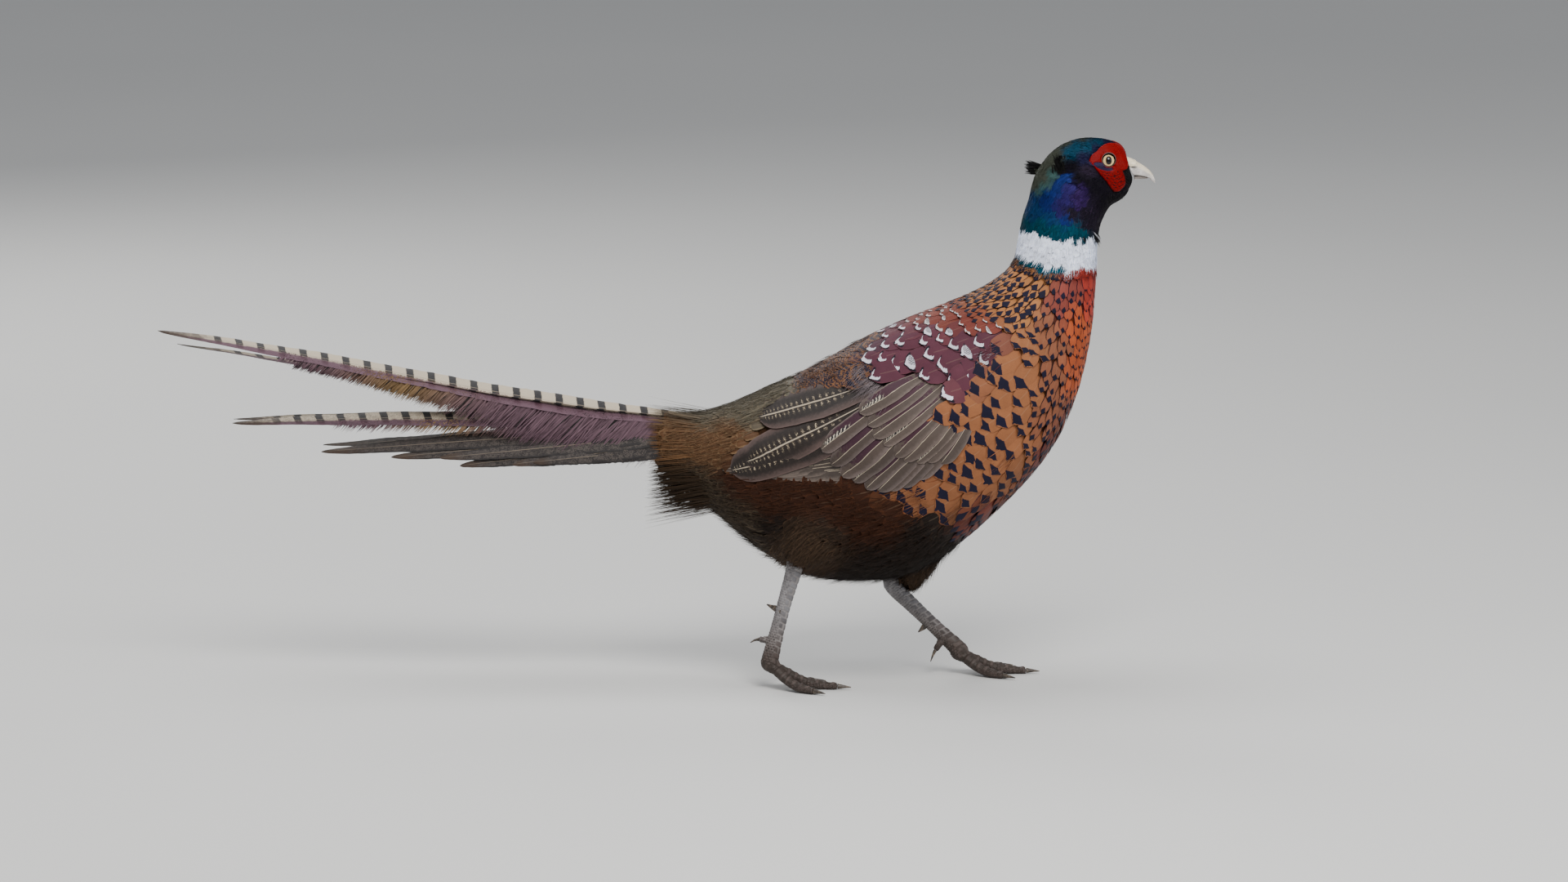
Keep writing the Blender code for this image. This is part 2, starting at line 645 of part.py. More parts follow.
def tube(name, rows, sides=12):
    """A limb through rows of x, y, z, half depth, half breadth."""
    centres = [Vector(row[:3]) for row in rows]
    rings = []
    for i, (*_, depth, breadth) in enumerate(rows):
        ahead = (centres[min(i + 1, len(rows) - 1)] - centres[max(i - 1, 0)]).normalized()
        front = LATERAL.cross(ahead).normalized()
        wide = ahead.cross(front)
        rings.append([centres[i] + front * depth * cos(tau * k / sides)
                      + wide * breadth * sin(tau * k / sides) for k in range(sides)])
    return loft(name, rings)


def smooth_rows(rows, steps):
    last = len(rows) - 1
    return [curve_through(rows, last * i / steps) for i in range(steps + 1)]


def tracked(rows, start, end):
    """Rows of x, z, ... with a y put in, running evenly from start to end."""
    last = len(rows) - 1
    return [(x, lerp(start, end, i / last), z, *size) for i, (x, z, *size) in enumerate(rows)]


def shank(side_name):
    """The bare leg from above the hock to the stem of the foot, short of it by the gap."""
    side = SIDES[side_name]
    rows = tracked(smooth_rows(SHANK[side_name], 12), side * HOCK_TRACK, side * FOOT_TRACK)
    before, (x, y, z, *size) = Vector(rows[-2][:3]), rows[-1]
    end = Vector((x, y, z))
    end -= (end - before).normalized() * GAP
    return tube("shank", rows[:-1] + [(*end, *size)])


def cone(name, base, aim, length, radius, tip_radius, droop, sides=8):
    """A curved tapering horn or claw that starts on a flat base."""
    level = aim.cross(Vector((0, 0, 1))).normalized()
    rings = []
    for i in range(5):
        t = i / 4
        centre = base + aim * length * t + Vector((0, 0, -droop * t * t))
        ahead = (aim * length + Vector((0, 0, -2 * droop * t))).normalized()
        up = level.cross(ahead)
        size = lerp(radius, tip_radius, t ** 0.9)
        rings.append([centre + (level * cos(tau * k / sides) + up * sin(tau * k / sides)) * size
                      for k in range(sides)])
    for ring in rings:
        for point in ring:
            point.z = max(point.z, 0.0)
    return loft(name, rings)


def toe_path(joint, turn, length, side):
    heading = Vector((cos(radians(turn)), sin(radians(turn)) * side, 0))
    rest = TOE_RADIUS[-2] - TOE_SUNK
    path = []
    for (reach, fall), radius in zip(TOE_FALL, TOE_RADIUS):
        height = max(lerp(rest, joint.z - 2.5, fall), radius - TOE_SUNK) if fall else (
            radius - TOE_SUNK)
        path.append((*(joint + heading * length * reach).xy, height, radius))
    return heading, path


def foot_part(name, path, heading):
    """A toe: round above, flattened where it would pass the floor, with a flat front."""
    rows = smooth_rows(path, 7)
    level = heading.cross(Vector((0, 0, 1))).normalized()
    rings = []
    for i, (x, y, z, radius) in enumerate(rows):
        knuckle = 1 + KNUCKLE * cos(tau * i / 7 * 3)
        ring = []
        for k in range(8):
            angle = tau * (k + 0.5) / 8
            point = Vector((x, y, z)) + level * radius * knuckle * cos(angle)
            point.z = max(z + radius * knuckle * sin(angle), 0.0)
            ring.append(point)
        rings.append(ring)
    return loft(name, rings)


def foot(side_name):
    """Foot with its stem, three front toes and raised hind toe, and the claws' places."""
    side = SIDES[side_name]
    stem = STEM[side_name]
    track = side * FOOT_TRACK
    end, before = SHANK[side_name][-1], SHANK[side_name][-2]
    rows = smooth_rows((end,) + stem, 5)
    body = tube("stem", tracked(rows, track, track))
    joint = Vector((stem[-1][0], track, stem[-1][1]))
    pieces = [ellipsoid(joint - Vector((0, 0, BALL_SUNK)), BALL, 12, 8)]
    claws = []
    for toe, turn, length in TOES:
        heading, path = toe_path(joint, turn, length, side)
        pieces.append(foot_part(toe, path, heading))
        x, y, z, radius = path[-1]
        claws.append((toe, Vector((x, y, z)) + heading * GAP, heading, radius))
    down = Vector((end[0] - before[0], 0, end[1] - before[1])).normalized()
    back = LATERAL.cross(down).normalized()
    back = back if back.x < 0 else -back
    hind = Vector((stem[0][0], track, stem[0][1]))
    aim = (back + Vector((0, -LEAN_INWARD * side, 0)) + down * 0.1).normalized()
    pieces.append(cone("hallux", hind, aim, HALLUX, *HALLUX_RADIUS, HALLUX_FALL))
    end = hind + aim * HALLUX + Vector((0, 0, -HALLUX_FALL))
    ahead = (aim * HALLUX + Vector((0, 0, -2 * HALLUX_FALL))).normalized()
    claws.append(("hind", end + ahead * GAP, ahead, HIND_CLAW_RADIUS))
    return boolean(body, pieces, "UNION"), claws


def claw(toe, base, heading, radius):
    """A curved nail on a toe's flat front, which bends down but stays off the floor."""
    length = HIND_CLAW_LENGTH if toe == "hind" else CLAW_LENGTH
    droop = max(min(base.z - CLAW_CLEAR, CLAW_DROOP[1]), CLAW_DROOP[0])
    base_radius = min(radius * CLAW_SHARE, CLAW_RADIUS[0])
    return cone("claw", base, heading, length, base_radius, CLAW_RADIUS[1], droop)


def thigh(side_name):
    side = SIDES[side_name]
    rows = [(x, y * side, z, *size) for x, y, z, *size in smooth_rows(THIGH[side_name], 10)]
    return tube("thigh", rows, 16)


def spur(side_name):
    """The horn that stands out behind the shank and leans inward."""
    side, place = SIDES[side_name], SPUR[side_name]
    x, z, depth, _ = curve_through(SHANK[side_name], place)
    before = Vector(curve_through(SHANK[side_name], place - 0.5)[:2])
    run = (Vector((x, z)) - before).normalized()
    back = Vector((run.y, -LEAN_INWARD * side, -run.x)).normalized()
    base = Vector((x, side * (FOOT_TRACK + SPUR_INWARD), z))
    return cone("spur", base, back, SPUR_LENGTH + depth, *SPUR_RADIUS, SPUR_CURL)


def build():
    clear_scene()
    plumage = {
        "torso": finish("copper plumage", (0.42, 0.16, 0.05), 0.6),
        "neck_ring": finish("white ring", (0.85, 0.84, 0.8), 0.7),
        "neck": finish("blue-green neck", (0.02, 0.06, 0.11), 0.35, 0.3),
        "head": finish("bronze green head", (0.04, 0.06, 0.06), 0.4, 0.3),
    }
    torso, _, _, head = (complete(body_length(name, *rows), name, plumage[name])
                         for name, rows in BODY_LENGTHS.items())
    torso_tree, head_tree = tree_of(torso), tree_of(head)

    horn = finish("pale horn bill", (0.62, 0.58, 0.46), 0.4)
    upper = bill_part("bill_upper", BILL_UPPER, UPPER_WIDEST)
    flaps = [ellipsoid(mirrored(NOSTRIL_FLAP[0], side), NOSTRIL_FLAP[1], 10, 6)
             for side in SIDES.values()]
    boolean(upper, flaps, "UNION")
    slits = [ellipsoid(mirrored(NOSTRIL_SLIT[0], side), NOSTRIL_SLIT[1], 8, 5)
             for side in SIDES.values()]
    boolean(upper, slits + [swollen(head)], "DIFFERENCE")
    lower = boolean(bill_part("bill_lower", BILL_LOWER, LOWER_WIDEST), [swollen(head)],
                    "DIFFERENCE")

    red = finish("red facial skin", (0.62, 0.015, 0.02), 0.5)
    iris = finish("pale eye", (0.75, 0.68, 0.45), 0.1)
    for side_name, side in SIDES.items():
        skin = wattle(head_tree, side)
        clearances = [swollen(head), eye_ball(head_tree, side, EYE_RADIUS + GAP),
                      swollen(upper), swollen(lower)]
        boolean(skin, clearances, "DIFFERENCE")
        complete(skin, "wattle_" + side_name, red)
        complete(eye_ball(head_tree, side, EYE_RADIUS), "eye_" + side_name, iris)
    boolean(head, [lock for side_name in SIDES for lock in ear_locks(head_tree, side_name)],
            "UNION")
    boolean(head, [eye_ball(head_tree, side, EYE_RADIUS + GAP) for side in SIDES.values()],
            "DIFFERENCE")
    complete(head, "head", plumage["head"])
    complete(upper, "bill_upper", horn)
    complete(lower, "bill_lower", horn)

    quill = finish("brown-grey wing", (0.30, 0.25, 0.20), 0.65)
    wing = boolean(right_wing(torso_tree), [swollen(torso)], "DIFFERENCE")
    complete(reflected(wing, "wing_left"), "wing_left", quill)
    complete(wing, "wing_right", quill)
    complete(tail(), "tail", finish("barred tail", (0.45, 0.38, 0.28), 0.65))

    scale = finish("grey leg scales", (0.33, 0.30, 0.28), 0.5)
    fuzz = finish("dark thigh plumage", (0.06, 0.035, 0.02), 0.8)
    nail = finish("dark claw", (0.08, 0.07, 0.06), 0.4)
    for side_name in SIDES:
        leg = boolean(shank(side_name), [swollen(torso)], "DIFFERENCE")
        upper_leg = thigh(side_name)
        boolean(upper_leg, [swollen(torso), swollen(leg)], "DIFFERENCE")
        spike = spur(side_name)
        boolean(spike, [swollen(leg)], "DIFFERENCE")
        standing, claws = foot(side_name)
        complete(leg, "shank_" + side_name, scale)
        complete(upper_leg, "thigh_" + side_name, fuzz)
        complete(spike, "spur_" + side_name, nail)
        complete(standing, "foot_" + side_name, scale)
        for toe, base, heading, radius in claws:
            complete(claw(toe, base, heading, radius), f"claw_{side_name}_{toe}", nail)


build()
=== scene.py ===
from math import cos, pi, radians, sin, tau

import bmesh
import bpy
import numpy as np
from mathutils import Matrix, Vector, kdtree
from mathutils.bvhtree import BVHTree


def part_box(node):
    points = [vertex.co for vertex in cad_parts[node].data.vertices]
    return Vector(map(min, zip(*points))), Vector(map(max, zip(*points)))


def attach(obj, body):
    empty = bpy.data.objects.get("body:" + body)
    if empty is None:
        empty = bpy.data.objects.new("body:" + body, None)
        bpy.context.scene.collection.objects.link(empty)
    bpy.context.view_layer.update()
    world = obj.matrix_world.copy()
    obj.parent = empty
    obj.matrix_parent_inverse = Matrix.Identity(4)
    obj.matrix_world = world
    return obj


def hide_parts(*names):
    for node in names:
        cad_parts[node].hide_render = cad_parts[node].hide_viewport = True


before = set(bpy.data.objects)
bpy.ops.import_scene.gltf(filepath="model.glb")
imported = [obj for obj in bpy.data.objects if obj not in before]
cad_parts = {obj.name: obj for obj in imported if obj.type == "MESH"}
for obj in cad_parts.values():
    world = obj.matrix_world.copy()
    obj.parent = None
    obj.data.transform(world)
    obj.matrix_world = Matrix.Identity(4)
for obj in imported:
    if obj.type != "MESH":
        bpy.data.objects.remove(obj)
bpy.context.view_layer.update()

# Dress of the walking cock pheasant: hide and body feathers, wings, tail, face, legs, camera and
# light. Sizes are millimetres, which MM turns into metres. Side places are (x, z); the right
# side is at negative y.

MM = 0.001
SIDES = {"right": -1, "left": 1}
CHANCE = np.random.default_rng(11)

# The line that the body is wrapped round, from the face to the tail.
SPINE = np.array([(330, 352), (315, 357), (297, 358), (284, 346), (278, 325), (275, 300),
                  (268, 270), (252, 240), (228, 212), (195, 188), (160, 170), (120, 158),
                  (80, 155), (45, 162), (10, 169), (-30, 173)], float)
THIGH_LINE = {"right": ((126, 46, 124), (93, 32, 84)), "left": ((185, 43, 126), (166, 31, 56))}
# How feathers lie in side view: x, z and how many degrees below straight back they point.
FLOW = np.array([
    (318, 372, -20), (303, 378, -5), (278, 374, 28), (257, 343, 72), (250, 320, 74),
    (300, 362, 6), (295, 340, 42), (318, 345, 25), (306, 332, 58), (278, 330, 70), (298, 318, 86),
    (246, 302, 58), (275, 297, 80), (302, 295, 94), (236, 284, 36), (254, 278, 48),
    (222, 272, 30), (205, 262, 24), (278, 268, 72), (296, 262, 95), (262, 250, 62),
    (292, 232, 96), (275, 215, 64), (286, 196, 66), (256, 206, 36), (240, 230, 26), (226, 200, 26),
    (262, 162, 46), (245, 180, 36), (214, 174, 26), (250, 144, 40), (218, 110, 34),
    (203, 149, 26), (222, 240, 26), (195, 250, 18), (180, 232, 17), (152, 235, 20),
    (130, 228, 24), (100, 212, 24), (186, 136, 24), (166, 120, 14), (150, 200, 28),
    (138, 80, 6), (110, 100, 4), (112, 134, 10), (82, 110, -6), (54, 196, 18), (30, 185, 10),
    (52, 172, 12), (12, 176, 4), (60, 146, 8), (40, 134, -8), (22, 146, -14),
], float)


def unit(vectors):
    return vectors / np.maximum(np.linalg.norm(vectors, axis=-1, keepdims=True), 1e-9)


def ease(low, high, value):
    t = np.clip((value - low) / (high - low), 0.0, 1.0)
    return t * t * (3 - 2 * t)


def across_of(heading, normal):
    return unit(np.cross(normal, heading))


def flat_to(vectors, normal):
    """The part of each vector that lies in the surface, at unit length."""
    return unit(vectors - normal * np.sum(vectors * normal, -1, keepdims=True))


# Shader maths


class Wire:
    """A shader socket that takes part in Python arithmetic."""

    def __init__(self, finish, socket):
        self.finish, self.socket = finish, socket

    def maths(self, operation, *values):
        return self.finish.node("ShaderNodeMath", {"operation": operation}, values)

    def __add__(self, other):
        return self.maths("ADD", self, other)

    def __radd__(self, other):
        return self.maths("ADD", other, self)

    def __sub__(self, other):
        return self.maths("SUBTRACT", self, other)

    def __rsub__(self, other):
        return self.maths("SUBTRACT", other, self)

    def __mul__(self, other):
        return self.maths("MULTIPLY", self, other)

    def __rmul__(self, other):
        return self.maths("MULTIPLY", other, self)

    def __truediv__(self, other):
        return self.maths("DIVIDE", self, other)

    def __pow__(self, other):
        return self.maths("POWER", self, other)

    def __abs__(self):
        return self.maths("ABSOLUTE", self)

    def sine(self):
        return self.maths("SINE", self)

    def larger(self, other):
        return self.maths("MAXIMUM", self, other)

    def smaller(self, other):
        return self.maths("MINIMUM", self, other)

    def part(self):
        """What is left of the value after its whole number."""
        return self.maths("FRACT", self)

    def step(self, low, high):
        """0 below low, 1 above high and smooth between them, or the other way round."""
        return self.finish.node("ShaderNodeMapRange", {"interpolation_type": "SMOOTHSTEP"},
                                (self, low, high, 0.0, 1.0))


class Finish:
    """A material whose pattern is written as expressions."""

    def __init__(self, name, **constants):
        self.material = bpy.data.materials.new(name)
        self.material.use_nodes = True
        self.graph = self.material.node_tree
        self.shader = self.graph.nodes["Principled BSDF"]
        for socket, value in constants.items():
            self.shader.inputs[socket.replace("_", " ")].default_value = value

    def node(self, kind, settings=(), values=(), output=0):
        """A node with its settings, then its inputs by place or name; returns one output."""
        made = self.graph.nodes.new(kind)
        for name, value in dict(settings).items():
            if name == "stops":
                ramp = made.color_ramp.elements
                while len(ramp) < len(value):
                    ramp.new(0.5)
                for stop, (place, colour) in zip(ramp, value):
                    stop.position, stop.color = place, (*colour, 1.0)
            else:
                setattr(made, name, value)
        for name, value in (values.items() if isinstance(values, dict) else enumerate(values)):
            self.feed(made.inputs[name], value)
        return Wire(self, made.outputs[output])

    def feed(self, socket, value):
        if isinstance(value, Wire):
            self.graph.links.new(value.socket, socket)
        else:
            socket.default_value = (*value, 1.0) if len(np.shape(value)) and (
                len(value) == 3 and socket.type == "RGBA") else value

    def mix(self, first, second, amount):
        """Colour first, turning to colour second as the amount grows from 0 to 1."""
        return self.node("ShaderNodeMix", {"data_type": "RGBA"}, {0: amount, 6: first, 7: second}, 2)

    def shade(self, colour, amount):
        """A colour made lighter or darker by a number."""
        return self.node("ShaderNodeVectorMath", {"operation": "SCALE"}, {0: colour, 3: amount})

    def attribute(self, name, output=0):
        return self.node("ShaderNodeAttribute", {"attribute_name": name}, (), output)

    def noise(self, scale, detail=3.0, where=None):
        return self.node("ShaderNodeTexNoise", {}, {"Vector": where or self.place(), "Scale": scale,
                                                    "Detail": detail})

    def place(self):
        return self.node("ShaderNodeTexCoord", {}, (), "Object")

    def apart(self, vector):
        """The three numbers of a vector."""
        first = self.node("ShaderNodeSeparateXYZ", {}, (vector,))
        outputs = first.socket.node.outputs
        return [Wire(self, outputs[i]) for i in range(3)]

    def relief(self, height, depth):
        """Feeds a bump of that depth in metres to the shader's normal."""
        bump = self.node("ShaderNodeBump", {}, {"Height": height, "Distance": depth})
        self.feed(self.shader.inputs["Normal"], bump)

    def paint(self, **channels):
        for socket, value in channels.items():
            self.feed(self.shader.inputs[socket.replace("_", " ")], value)
        return self.material


def vane_places(finish):
    """Across the feather from -1 to 1, and along it from 0 at the root to 1."""
    across, along, _ = finish.apart(finish.node("ShaderNodeUVMap", {"uv_map": "Vane"}))
    return across * 2.0 - 1.0, along


def barbs(finish, across, along, slant, count):
    """Fine slanting lines of a vane, from 0 to 1."""
    wander = finish.noise(420.0, 2.0)
    return ((along * count + abs(across) * slant + wander) * tau).sine() * 0.5 + 0.5


def plumage_finish():
    """Body feathers: ground, rim, and a spot or ringed crescent, all set feather by feather."""
    finish = Finish("body_plumage", Specular_IOR_Level=0.16)
    across, along = vane_places(finish)
    ground, edge, mark = (finish.attribute(name) for name in ("ground", "edge", "mark"))
    gloss, rim, ringed = (finish.attribute(name, "Alpha") for name in ("ground", "edge", "mark"))
    centre, high, wide = finish.apart(finish.attribute("spot"))
    barred = finish.attribute("spot", "Alpha")
    ragged = finish.noise(1100.0, 2.0) - 0.5
    blotch = finish.noise(140.0, 3.0) - 0.5
    side = abs(across)
    lines = barbs(finish, across, along, 4.0, 38.0)
    margin = side.larger(1.0 - (1.0 - along) * 2.6) + ragged * 0.16
    rimmed = margin.step(1.0 - rim, 1.02 - rim * 0.6) * (rim * 40.0).smaller(1.0)
    flecks = ((along * 30.0 + side * 4.0 + ragged * 12.0).sine() + blotch * 3.0).step(0.1, 0.5)
    up = (along - centre) / high
    out = side / wide
    oval = (out * out + up * up) ** 0.5
    reach = out + abs(up)
    reach = reach + (oval - reach) * ringed + ragged * 0.22
    inside = reach.step(1.04, 0.94)
    outlined = reach.step(1.42, 1.28) * reach.step(0.9, 1.0) * up.step(-0.7, -0.2) * ringed
    upper = across / wide + 0.30
    hollow = ((upper * upper * 1.35 + (up + 0.62) ** 2.0) ** 0.5 + ragged * 0.5).step(0.98, 0.86)
    streaks = ((across * 52.0 + ragged * 7.0).sine() * 0.5 + 0.5).step(0.35, 0.7) * barred
    colour = finish.mix(ground, edge, rimmed.larger(flecks * barred * (1.0 - ringed)))
    colour = finish.mix(colour, (0.004, 0.003, 0.008), outlined)
    colour = finish.mix(colour, mark, inside * (1.0 - ringed * hollow))
    fan = hollow * inside * ringed * barred.step(0.45, 0.55)
    colour = finish.mix(colour, finish.mix((0.006, 0.005, 0.008), mark, streaks), fan)
    shaft = side.step(0.06, 0.02) * along.step(0.95, 0.6) * (1.0 - inside) * (1.0 - gloss * 2.0)
    colour = finish.mix(colour, (0.40, 0.30, 0.20), shaft * 0.12)
    tone = 0.95 + lines * (0.10 - gloss * 0.08) + ragged * 0.2 + blotch * 0.4
    finish.relief(lines * (0.4 - gloss * 0.4) - side * 0.5, 0.00006)
    return finish.paint(Base_Color=finish.shade(colour, tone), Metallic=gloss * 0.85,
                        Roughness=0.66 - gloss * 0.30 + ragged * 0.1)


def flight_finish():
    """Wing feathers: shaft, stripe, dotted lines and pale edges, set feather by feather."""
    finish = Finish("wing_plumage", Specular_IOR_Level=0.3, Sheen_Weight=0.08)
    across, along = vane_places(finish)
    ground, edge, mark = (finish.attribute(name) for name in ("ground", "edge", "mark"))
    stripe, dotted, barred = finish.apart(finish.attribute("spot"))
    side = abs(across)
    ragged = finish.noise(520.0, 3.0) - 0.5
    fine = finish.noise(2200.0, 2.0) - 0.5
    lines = barbs(finish, across, along, 6.0, 120.0)
    colour = finish.mix(ground, edge, (side + ragged * 0.25).step(0.5, 0.92))
    centre = (across + ragged * 0.3).step(0.02, -0.10) * (across + ragged * 0.3).step(-0.92, -0.8) * (
        along + ragged * 0.5).step(0.05, 0.15) * (along + ragged * 0.5).step(0.74, 0.60)
    colour = finish.mix(colour, mark, centre * stripe)
    waves = ((along * 120.0 + side * 14.0 + ragged * 9.0).sine() + fine * 3.0).step(0.2, 0.7)
    patch = (abs(across + 0.22) + ragged * 0.4).step(0.26, 0.16) * along.step(0.42, 0.52) * (
        along.step(0.88, 0.8)) * barred
    colour = finish.mix(colour, (0.012, 0.010, 0.012), patch)
    colour = finish.mix(colour, (0.55, 0.48, 0.38), patch * waves)
    lane = (abs(side - 0.20 + ragged * 0.22).step(0.10, 0.05) + side.step(0.55, 0.1) * 0.25) * (
        along.step(0.12, 0.3) * along.step(0.98, 0.85))
    flecks = ((along * 150.0).sine() * 0.35 + fine * 3.2).step(0.45, 0.62)
    colour = finish.mix(colour, (0.62, 0.50, 0.34), lane * flecks * dotted)
    pale = side.larger(1.0 - (1.0 - along) * 9.0).step(0.90, 0.965)
    colour = finish.mix(colour, finish.shade(edge, 1.5), pale * 0.7)
    shaft = side.step(0.05, 0.02)
    colour = finish.mix(colour, (0.46, 0.38, 0.28), shaft * along.step(1.0, 0.9) * 0.9)
    finish.relief(lines * 0.2 + shaft * 1.2 + ragged * 0.4, 0.0002)
    tone = 0.95 + lines * 0.05 + ragged * 0.35 + fine * 0.15
    return finish.paint(Base_Color=finish.shade(colour, tone), Roughness=0.6 + fine * 0.2)


def tail_finish():
    """Tail feathers: cream-grey web with black bars, mauve outer web and speckled outer pairs."""
    finish = Finish("tail_plumage", Specular_IOR_Level=0.3, Sheen_Weight=0.1)
    outward, along = vane_places(finish)
    ground, edge, mark = (finish.attribute(name) for name in ("ground", "edge", "mark"))
    length, barred, speckled = finish.apart(finish.attribute("spot"))
    ragged = finish.noise(330.0, 3.0) - 0.5
    fine = finish.noise(1700.0, 2.0) - 0.5
    side = abs(outward)
    lines = barbs(finish, outward, along, 8.0, 190.0)
    mauve = (outward + ragged * 0.35).step(0.10, 0.42)
    colour = finish.mix(ground, edge, mauve * barred)
    dark = (side + ragged * 0.3).step(0.62, 0.92) * (1.0 - barred)
    colour = finish.mix(colour, finish.shade(edge, 0.5), dark)
    beat = (along * length / 14.8 + outward * 0.10 + ragged * 0.08).part()
    bar = abs(beat - 0.5).step(0.20, 0.15) * (outward + fine * 0.3).step(0.38, 0.18)
    stain = abs(beat - 0.5).step(0.22, 0.10) * mauve * (outward + ragged * 0.4).step(1.1, 0.5)
    colour = finish.mix(colour, mark, stain * barred * 0.8)
    speck = (fine + ragged * 0.5).step(-0.06, 0.06) * speckled
    colour = finish.mix(colour, (0.012, 0.009, 0.009), speck)
    faded = (along + ragged * 0.06).step(0.97, 0.88)
    colour = finish.mix(colour, (0.010, 0.008, 0.009), bar * barred * faded)
    colour = finish.mix(colour, (0.045, 0.026, 0.016), (along + ragged * 0.12).step(0.86, 0.98))
    shaft = side.step(0.05, 0.02)
    colour = finish.mix(colour, (0.36, 0.28, 0.2), shaft * 0.5)
    finish.relief(lines * 0.5 + shaft * 1.5 + fine * 0.4, 0.0002)
    tone = 0.92 + lines * 0.1 + fine * 0.3 + ragged * 0.2
    return finish.paint(Base_Color=finish.shade(colour, tone), Roughness=0.6 + fine * 0.15)


def hide_finish():
    """What shows between the feathers: their ground colour, darkened as painted shade, and downy."""
    finish = Finish("underfeather", Roughness=0.9, Specular_IOR_Level=0.1)
    fuzz = finish.noise(700.0, 4.0)
    # Ground colour darkened to 0.15-0.65: painted shade in the gaps between the feathers.
    colour = finish.shade(finish.attribute("ground"), 0.15 + fuzz * 0.5)
    finish.relief(fuzz, 0.0005)
    return finish.paint(Base_Color=colour)


def wattle_finish():
    """Red bare skin: painted highlights on the raised pimples, painted shade in the wrinkles, and a
    brown lid ring.
    """
    finish = Finish("red_face_skin", Specular_IOR_Level=0.09)
    raised = finish.attribute("raised", "Fac")
    from_lid = finish.attribute("from_lid", "Fac")
    blotch = finish.noise(260.0, 3.0)
    low = finish.mix((0.016, 0.0001, 0.0006), (0.075, 0.0001, 0.0008), blotch)
    # Lighter where the skin is raised and darker in the wrinkles: painted highlight and painted shade.
    colour = finish.mix(low, (0.195, 0.0001, 0.0006), (raised + blotch * 0.3).step(0.2, 0.95))
    colour = finish.mix(colour, (0.012, 0.008, 0.030), finish.attribute("strip", "Fac"))
    colour = finish.mix(colour, (0.085, 0.055, 0.050), from_lid.step(1.05, 0.85))
    colour = finish.mix(colour, (0.006, 0.004, 0.005), from_lid.step(0.45, 0.3))
    finish.relief(finish.noise(1500.0, 2.0), 0.0001)
    return finish.paint(Base_Color=colour, Roughness=0.55 - raised * 0.1)


def eye_finish():
    """Pale yellow iris with a dark rim round a black pupil, under a wet surface."""
    finish = Finish("eye", Roughness=0.2, Coat_Weight=0.35, Coat_Roughness=0.02,
                    Specular_IOR_Level=0.2)
    reach = finish.attribute("from_pupil", "Fac")
    pupil = finish.attribute("pupil_edge", "Fac")
    turn = finish.attribute("round_pupil", "Fac")
    streak = finish.noise(60.0, 2.0, finish.node("ShaderNodeCombineXYZ", {},
                                                 (turn * 1.4, reach * 0.05, 0.0)))
    iris = finish.mix((0.46, 0.29, 0.10), (0.74, 0.55, 0.26), (reach + streak * 0.5).step(0.45, 0.95))
    iris = finish.mix(iris, (0.25, 0.13, 0.04), pupil.step(0.44, 0.38))
    colour = finish.mix((0.001, 0.001, 0.0015), iris, pupil.step(0.355, 0.385))
    colour = finish.mix(colour, (0.012, 0.008, 0.010), reach.step(0.76, 0.83))
    return finish.paint(Base_Color=colour)


def bill_finish():
    """Grey-white horn: worn and creamy along the top and the tip, with painted shade along the cutting
    edge and in the nostril slit.
    """
    finish = Finish("bill_horn", Specular_IOR_Level=0.5, Coat_Weight=0.25, Coat_Roughness=0.25)
    forward, _, upward = finish.apart(finish.place())
    cloud = finish.noise(240.0, 4.0)
    streak = finish.noise(90.0, 4.0, finish.node("ShaderNodeCombineXYZ", {}, (
        forward * 2.0, upward * 14.0, 0.0)))
    ridge = (upward + forward * 0.62 + cloud * 0.002).step(0.5605, 0.5640)
    colour = finish.mix((0.40, 0.375, 0.35), (0.62, 0.58, 0.55), cloud.step(0.35, 0.65))
    colour = finish.mix(colour, (0.70, 0.60, 0.42), ridge * 0.8)
    colour = finish.mix(colour, (0.22, 0.17, 0.13), (streak - 0.12).step(0.42, 0.62) * 0.35)
    colour = finish.mix(colour, (0.78, 0.68, 0.48), finish.attribute("cere", "Fac") * 0.9)
    # Painted shade along the gape, where the two halves of the bill meet.
    colour = finish.mix(colour, (0.09, 0.06, 0.045), finish.attribute("cutting_edge", "Fac") * 0.75)
    # Painted shade in the nostril slit.
    colour = finish.mix(colour, (0.03, 0.02, 0.015), finish.attribute("pit", "Fac"))
    finish.relief(streak + cloud * 0.4, 0.00018)
    return finish.paint(Base_Color=colour, Roughness=0.32 + cloud * 0.22)


def leg_finish():
    """Grey scales: pale and bluish above, browner on the toes, dark in the creases."""
    finish = Finish("leg_scales", Specular_IOR_Level=0.28)
    _, _, upward = finish.apart(finish.place())
    crease = finish.attribute("crease", "Fac")
    tone = finish.attribute("tone", "Fac")
    cloud = finish.noise(320.0, 4.0)
    low = finish.mix((0.036, 0.026, 0.022), (0.076, 0.056, 0.049), tone + cloud * 0.3)
    high = finish.mix((0.110, 0.105, 0.112), (0.215, 0.208, 0.216), tone + cloud * 0.3)
    colour = finish.mix(low, high, upward.step(0.022, 0.062))
    net = finish.mix((0.030, 0.022, 0.017), (0.27, 0.245, 0.235), upward.step(0.020, 0.034))
    colour = finish.mix(colour, net, crease * 0.7)
    grain = finish.noise(2600.0, 3.0)
    finish.relief(grain * 0.5 - crease, 0.0002)
    return finish.paint(Base_Color=finish.shade(colour, 0.75 + cloud * 0.5),
                        Roughness=0.44 + grain * 0.2)


def claw_finish():
    """Dark horn of the claws and spurs, paler in cloudy patches."""
    finish = Finish("claw_horn", Specular_IOR_Level=0.5, Coat_Weight=0.2, Coat_Roughness=0.3)
    cloud = finish.noise(500.0, 4.0)
    streak = finish.noise(1800.0, 2.0)
    colour = finish.mix((0.030, 0.022, 0.017), (0.16, 0.12, 0.085), cloud.step(0.4, 0.75))
    finish.relief(streak * 0.6 + cloud, 0.0002)
    return finish.paint(Base_Color=finish.shade(colour, 0.8 + streak * 0.4),
                        Roughness=0.36 + cloud * 0.2)


